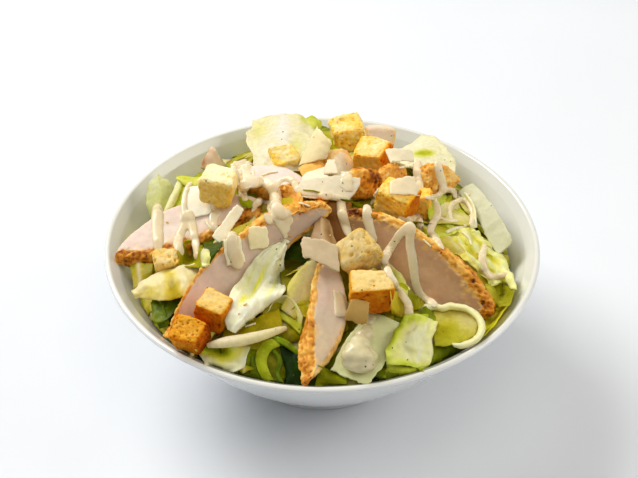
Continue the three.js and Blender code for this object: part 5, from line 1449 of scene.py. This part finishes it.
def stroke(path, widths, lift=0.2, seed=0, step=1.0, gap=0.0, body=0.30):
    """A line of dressing along photo points; it follows what it lies on, with beads and thin places."""
    p = np.array(path, float)
    seg = np.r_[0, np.cumsum(np.linalg.norm(np.diff(p, axis=0), axis=1))]
    n = max(4, int(seg[-1] / step))
    q = spline(p, n)
    w = np.interp(np.linspace(0, 1, n), np.linspace(0, 1, len(widths)), widths)
    out, depth = [], []
    hits = []
    for k in range(n):
        h, nr, d = cast(carriers, q[k, 0], q[k, 1])
        hits.append((h, nr))
        depth.append(np.nan if h is None else d)
    depth = np.array(depth)
    ok = ~np.isnan(depth)
    if ok.sum() < 2:
        return out
    depth = np.interp(np.arange(n), np.arange(n)[ok], depth[ok])
    # a poured line bridges narrow gaps: smooth the depth, never behind what is there
    k5 = np.convolve(np.pad(depth, 3, mode="edge"), np.ones(7) / 7, "valid")
    depth = np.minimum(depth, k5 + 0.4)
    sm = np.convolve(np.pad(depth, 1, mode="edge"), [0.25, 0.5, 0.25], "valid")
    pts = [EYE + ray(q[k, 0], q[k, 1]) * sm[k] for k in range(n)]
    norms = []
    for k in range(n):
        view = -ray(q[k, 0], q[k, 1])
        nr = view if hits[k][1] is None else np.array(hits[k][1])
        norms.append(-nr if nr @ view < 0 else nr)
    norms = np.array(norms)
    norms = np.stack([np.convolve(np.pad(norms[:, c], 3, mode="edge"), np.ones(7) / 7, "valid") for c in range(3)], 1)
    for k in range(n):
        nz = vnoise(np.array([[k * 0.9, seed * 17.0, 3.0]]), 8.0, seed)[0]
        scale = sm[k] / FOCAL
        rad = w[k] / 2 * scale * (1 + 0.10 * nz) * 1.20
        if gap and nz < gap - 1:
            continue
        view = -ray(q[k, 0], q[k, 1])
        nr = norms[k] * 0.55 + view * 0.45
        along = pts[min(k + 1, n - 1)] - pts[max(k - 1, 0)]
        up = np.clip(rad * body, 0.42, 1.1)
        out.append((pts[k] + nr / np.linalg.norm(nr) * lift, rad, up, nr, along, 1.15))
    # no ridges where the line runs steeply: more balls in between
    full = []
    for p0, p1 in zip(out[:-1], out[1:]):
        full.append(p0)
        far = np.linalg.norm(p1[0] - p0[0])
        more = int(far / (0.35 * min(p0[1], p1[1]))) if far < 7.0 else 0
        for j in range(1, more + 1):
            t = j / (more + 1)
            full.append(tuple(x * (1 - t) + y * t for x, y in zip(p0, p1)))
    return full + out[-1:]


def pool(outline, thick=0.8, seed=0, step=2.0):
    """A thin pool inside an outline of photo points."""
    o = np.array(outline, float)
    lo, hi = o.min(0), o.max(0)
    out = []
    x = np.arange(lo[0], hi[0] + step, step)
    y = np.arange(lo[1], hi[1] + step, step)

    def inside(a, b):
        c = False
        j = len(o) - 1
        for i in range(len(o)):
            if (o[i, 1] > b) != (o[j, 1] > b) and a < (o[j, 0] - o[i, 0]) * (b - o[i, 1]) / (o[j, 1] - o[i, 1]) + o[i, 0]:
                c = not c
            j = i
        return c
    found = []
    for a in x:
        for b in y:
            jx = vnoise(np.array([[a, b, seed * 3.0]]), 3.0, seed)[0]
            jy = vnoise(np.array([[a, b, seed * 3.0 + 50]]), 3.0, seed + 1)[0]
            u, v = a + jx * 0.8, b + jy * 0.8
            if not inside(u, v):
                continue
            h, nr, d = cast(carriers, u, v)
            if h is None:
                continue
            view = -ray(u, v)
            nr = np.array(nr)
            if nr @ view < 0:
                nr = -nr
            found.append((u, v, d, *(nr * 0.7 + view * 0.3), jx))
    if not found:
        return out
    g = np.array(found)
    near = np.exp(-((g[:, None, :2] - g[None, :, :2]) ** 2).sum(-1) / 3.0**2)
    near /= near.sum(1, keepdims=True)
    flow_d = near @ np.minimum(g[:, 2], near @ g[:, 2] + 0.2)  # the cream levels out small hollows
    flow_n = near @ g[:, 3:6]
    for (u, v, d, *_, jx), fd, nr in zip(found, flow_d, flow_n):
        nr = nr / np.linalg.norm(nr)
        rad = step * 0.95 * d / FOCAL
        out.append((EYE + ray(u, v) * min(fd, d + 1.2) + nr * 0.10, rad * 1.7, thick * (0.85 + 0.12 * jx), nr, np.array([1.0, 0, 0]), 1.0))
    return out


def flow(name, samples, voxel, smooth, material, replaces=(), tint_fn=None):
    v, f = blobs(samples)
    m = bpy.data.meshes.new(name + "_work")
    m.from_pydata(v.tolist(), [], f.tolist())
    o = bpy.data.objects.new(name + "_work", m)
    bpy.context.scene.collection.objects.link(o)
    rm = o.modifiers.new("remesh", "REMESH")
    rm.mode = "VOXEL"
    rm.voxel_size = voxel
    rm.adaptivity = 0.0
    if smooth:
        sm = o.modifiers.new("smooth", "SMOOTH")
        sm.factor = 0.5
        sm.iterations = smooth
    dg = bpy.context.evaluated_depsgraph_get()
    ev = o.evaluated_get(dg)
    em = ev.to_mesh()
    co = np.empty(len(em.vertices) * 3)
    em.vertices.foreach_get("co", co)
    co = co.reshape(-1, 3)
    faces = [tuple(p.vertices) for p in em.polygons]
    ev.to_mesh_clear()
    bpy.data.objects.remove(o)
    bpy.data.meshes.remove(m)
    tint = tint_fn(co) if tint_fn else None
    return build(name, co, faces, material, tint=tint, replaces=replaces)


def cream(co):
    t = 0.5 + 0.5 * fbm(co, 9.0, 3, 71)
    return ramp(np.clip(t, 0, 1), [(0.0, (220, 197, 151)), (0.5, (234, 216, 178)), (1.0, (245, 231, 200))])


def thick_cream(co):
    t = 0.5 + 0.5 * fbm(co, 7.0, 3, 72)
    return ramp(np.clip(t, 0, 1), [(0.0, (198, 184, 138)), (0.5, (214, 202, 159)), (1.0, (226, 217, 180))])


# the dollop
D = []


def lump(u, v, wpx, hpx, d, fat=0.8):
    h, nr, dist = cast(cad_all, u, v)
    base = cast(carriers, u, v)
    p = EYE + ray(u, v) * (dist if h is not None else base[2])
    s = (dist if dist else base[2]) / FOCAL
    view = -ray(u, v)
    upv = np.array([0.0, 0.0, 1.0])
    nr = view * 0.75 + upv * 0.35
    side = np.cross(upv, view)
    D.append((p - view * (2.6 - d), wpx / 2 * s, max(hpx, wpx) / 2 * s * fat, nr, side, 1.0))
    D[-1] = (D[-1][0], hpx / 2 * s, D[-1][2], nr, side, wpx / max(hpx, 1e-3))


for args in [(371, 318, 13, 9, 0.3), (369, 323, 12, 10, 0.6), (367, 329, 13, 10, 0.8), (363, 335, 18, 12, 1.0),
             (359, 341, 20, 13, 1.4), (366, 340, 12, 10, 0.8), (356, 348, 24, 15, 1.4), (364, 349, 18, 14, 1.0),
             (367, 334, 16, 15, 1.0), (361, 345, 22, 18, 1.5), (357, 352, 26, 20, 1.5), (352, 356, 24, 18, 1.2), (362, 358, 28, 20, 1.6), (371, 357, 15, 16, 0.8), (360, 367, 26, 13, 0.8),
             (350, 365, 16, 10, 0.4), (368, 366, 16, 12, 0.4), (375, 316, 6, 6, 0.2), (345, 362, 9, 9, 0.2)]:
    lump(*args)
flow("dressing_dollop_cream", D, 0.6, 20, M_DRESSING, replaces=["dressing_dollop"], tint_fn=thick_cream)

S = []
S += stroke([(158, 210), (157.5, 220), (157.5, 232), (158, 242), (158.5, 248)], [10, 11, 11, 10.5, 8.5], seed=1)
S += stroke([(190, 184), (186, 192), (184, 204), (185, 216), (184, 226), (180, 236), (178, 245), (180, 251)], [5, 5.5, 6, 7.5, 7.5, 8, 8.5, 9.5], seed=2)
S += stroke([(212, 205), (216, 209), (218, 214)], [6, 7, 6], seed=3)
S += stroke([(190, 215), (192, 225), (194, 235), (196, 246), (197, 256)], [8, 8.5, 8, 7.5, 8], seed=4)
S += stroke([(214, 212), (213, 222), (215, 229)], [8, 8, 7], seed=5)
S += pool([(231, 165), (238, 161), (249, 161), (251, 165), (250, 172), (252, 180), (250, 186), (243, 185), (239, 184), (236, 178), (234, 172)], seed=6)
S += stroke([(246, 183), (243, 192), (245, 200)], [9, 8, 6], seed=7)
S += stroke([(250, 183), (262, 182), (272, 187), (276, 197), (276, 207), (281, 213), (288, 220)], [10, 11, 11, 11, 12, 12, 10], seed=8)
S += pool([(268, 200), (277, 203), (281, 209), (289, 212), (291, 218), (288, 228), (285, 237), (280, 230), (275, 222), (270, 212), (267, 206)], seed=9)
S += stroke([(253, 211), (256, 204), (262, 201), (268, 203)], [5, 7, 7, 7], seed=10)
S += stroke([(267, 217), (269, 221)], [7, 7], seed=11)
S += stroke([(277, 186), (281, 181), (288, 179), (293, 181), (297, 188), (305, 193), (315, 194), (325, 196), (335, 197), (346, 199)], [6, 7, 7, 7, 8, 7, 7, 7, 6, 5], seed=12)
S += stroke([(232, 237), (233, 250), (237, 262)], [10, 13, 12], seed=13)
S += pool([(341, 174), (347, 172), (351, 177), (350, 186), (353, 192), (345, 190), (340, 186)], seed=14)
S += stroke([(371, 204), (374, 198), (378, 190)], [3, 3.5, 3], seed=15)
S += stroke([(438, 166), (439, 175), (442, 183), (443, 190)], [8, 9, 9, 7], seed=16)
S += stroke([(341, 203), (342, 212), (345, 223), (348, 233)], [9, 10, 10, 8], seed=17)
S += stroke([(417, 163), (417.5, 171), (418.5, 180), (419, 187)], [7, 8, 9, 8], seed=23)
S += stroke([(367, 209), (368, 220), (371, 231), (374, 239)], [9, 9.5, 9, 7], seed=18)
S += stroke([(409, 226), (400, 234), (394, 243), (388, 252), (384, 260), (386, 268), (392, 278), (396, 287), (402, 295), (408, 304), (409, 313)], [9, 9, 8, 8, 8, 8, 7, 7, 7, 8, 8], seed=19)
S += stroke([(411, 228), (410, 243), (412, 256), (414, 270), (416, 285), (420, 294), (427, 301), (433, 304)], [9, 9, 9, 9, 9, 9, 9, 8], seed=20)
S += stroke([(418, 216), (421, 227)], [6, 7], seed=21)
S += stroke([(401, 219), (410, 220), (419, 218)], [6, 8, 7], seed=22)
S += stroke([(434, 236), (438, 243), (441, 248)], [7, 7, 6], seed=23)
S += stroke([(427, 198), (436, 197), (441, 193), (447, 190), (453, 191), (455, 197)], [5, 6, 6, 6, 6, 5], seed=24)
S += stroke([(433, 198), (436, 206), (437, 214), (434, 222)], [7, 8, 8, 7], seed=25)
S += stroke([(451, 219), (450, 208), (456, 202), (464, 200), (470, 207), (472, 216), (471, 227)], [4, 5, 5, 5, 5, 5, 5], seed=26)
S += stroke([(440, 218), (450, 221), (457, 221)], [4, 4, 4], seed=27)
S += stroke([(434, 221), (430, 232), (436, 241)], [7, 8, 7], seed=28)
S += stroke([(447, 232), (455, 229), (465, 226)], [4, 4, 4], seed=29)
S += stroke([(484, 247), (482, 258), (484, 268), (492, 277), (506, 275)], [6, 8, 8, 8, 6], seed=30)
flow("dressing_poured", S, 0.5, 7, M_DRESSING, tint_fn=cream)

# ------------------------------------------------------------------ grated cheese shreds
GR = []
for path, w in [([(393, 161), (402, 164), (412, 167)], [2.4, 3, 2]), ([(399, 168), (410, 166), (418, 162)], [2, 3, 2.2]),
                ([(262, 176), (270, 173), (277, 172)], [2, 2.6, 2]), ([(206, 222), (212, 230)], [2, 2.2]),
                ([(300, 203), (309, 206)], [2, 2.4]), ([(462, 232), (468, 238), (471, 245)], [2, 2.6, 2]),
                ([(424, 240), (430, 246)], [2, 2.2]), ([(246, 327), (255, 324)], [2, 2.2])]:
    GR += stroke(path, w, lift=0.5, seed=41, step=0.8, body=0.8)
flow("grated_cheese", GR, 0.3, 2, M_CHEESE, tint_fn=lambda co: ramp(np.clip(0.5 + 0.4 * fbm(co, 4.0, 2, 77), 0, 1), [(0, (236, 222, 170)), (1, (250, 244, 214))]))

# ------------------------------------------------------------------ herb specks, pepper and crumbs
everything = tree_of([o for o in SURFACES])


def flecks(name, count, size, flat, seed, material, colours, at=(), box=(118, 522, 120, 382), weight=None):
    r = np.random.default_rng(seed)
    parts = []
    spots_px = list(at)
    while len(spots_px) < count + len(at):
        u, v = r.uniform(box[0], box[1]), r.uniform(box[2], box[3])
        if ((u - 319) / 196) ** 2 + ((v - 250) / 128) ** 2 > 1:
            continue
        if weight and r.random() > weight(u, v):
            continue
        spots_px.append((u, v))
    for u, v in spots_px:
        h, nr, d = cast(everything, u, v)
        if h is None or h[2] < 60:
            continue
        nr = np.array(nr)
        if nr @ ray(u, v) > 0:
            nr = -nr
        nr /= np.linalg.norm(nr)
        x = np.cross(nr, r.normal(size=3))
        x /= np.linalg.norm(x)
        y = np.cross(nr, x)
        k = size * r.uniform(0.6, 1.3)
        base = SPH_V
        shape = base * (1 + 0.28 * vnoise(base * 3.0 + r.uniform(0, 90), 2.2, seed)[:, None])
        pv = h + nr * (k * flat * 0.45) + shape * np.array([k * r.uniform(0.8, 1.4), k * r.uniform(0.5, 0.9), k * flat]) @ np.stack([x, y, nr])
        c = np.array(lin(colours[r.integers(len(colours))]))
        parts.append((pv, SPH_F.copy(), np.repeat(c[None, :], len(pv), 0) * (0.85 + 0.3 * r.random())))
    v, f, c = join(parts)
    build(name, v, f, material, tint=c)


flecks("herb_specks", 40, 0.38, 0.30, 5, M_HERB, [(70, 78, 24), (96, 92, 34), (48, 52, 16), (88, 66, 30)],
       at=[(231, 262), (366, 361), (206, 181), (344, 243), (352, 246), (362, 252), (212, 172), (362, 290), (374, 286), (351, 236), (237, 168), (226, 190)])
flecks("toast_crumbs", 7, 0.6, 0.75, 9, M_BREAD, [(226, 164, 66), (214, 140, 44), (240, 196, 112), (190, 110, 24)],
       at=[(167, 222), (188, 240), (264, 224), (300, 214), (380, 230), (330, 236), (290, 236)])
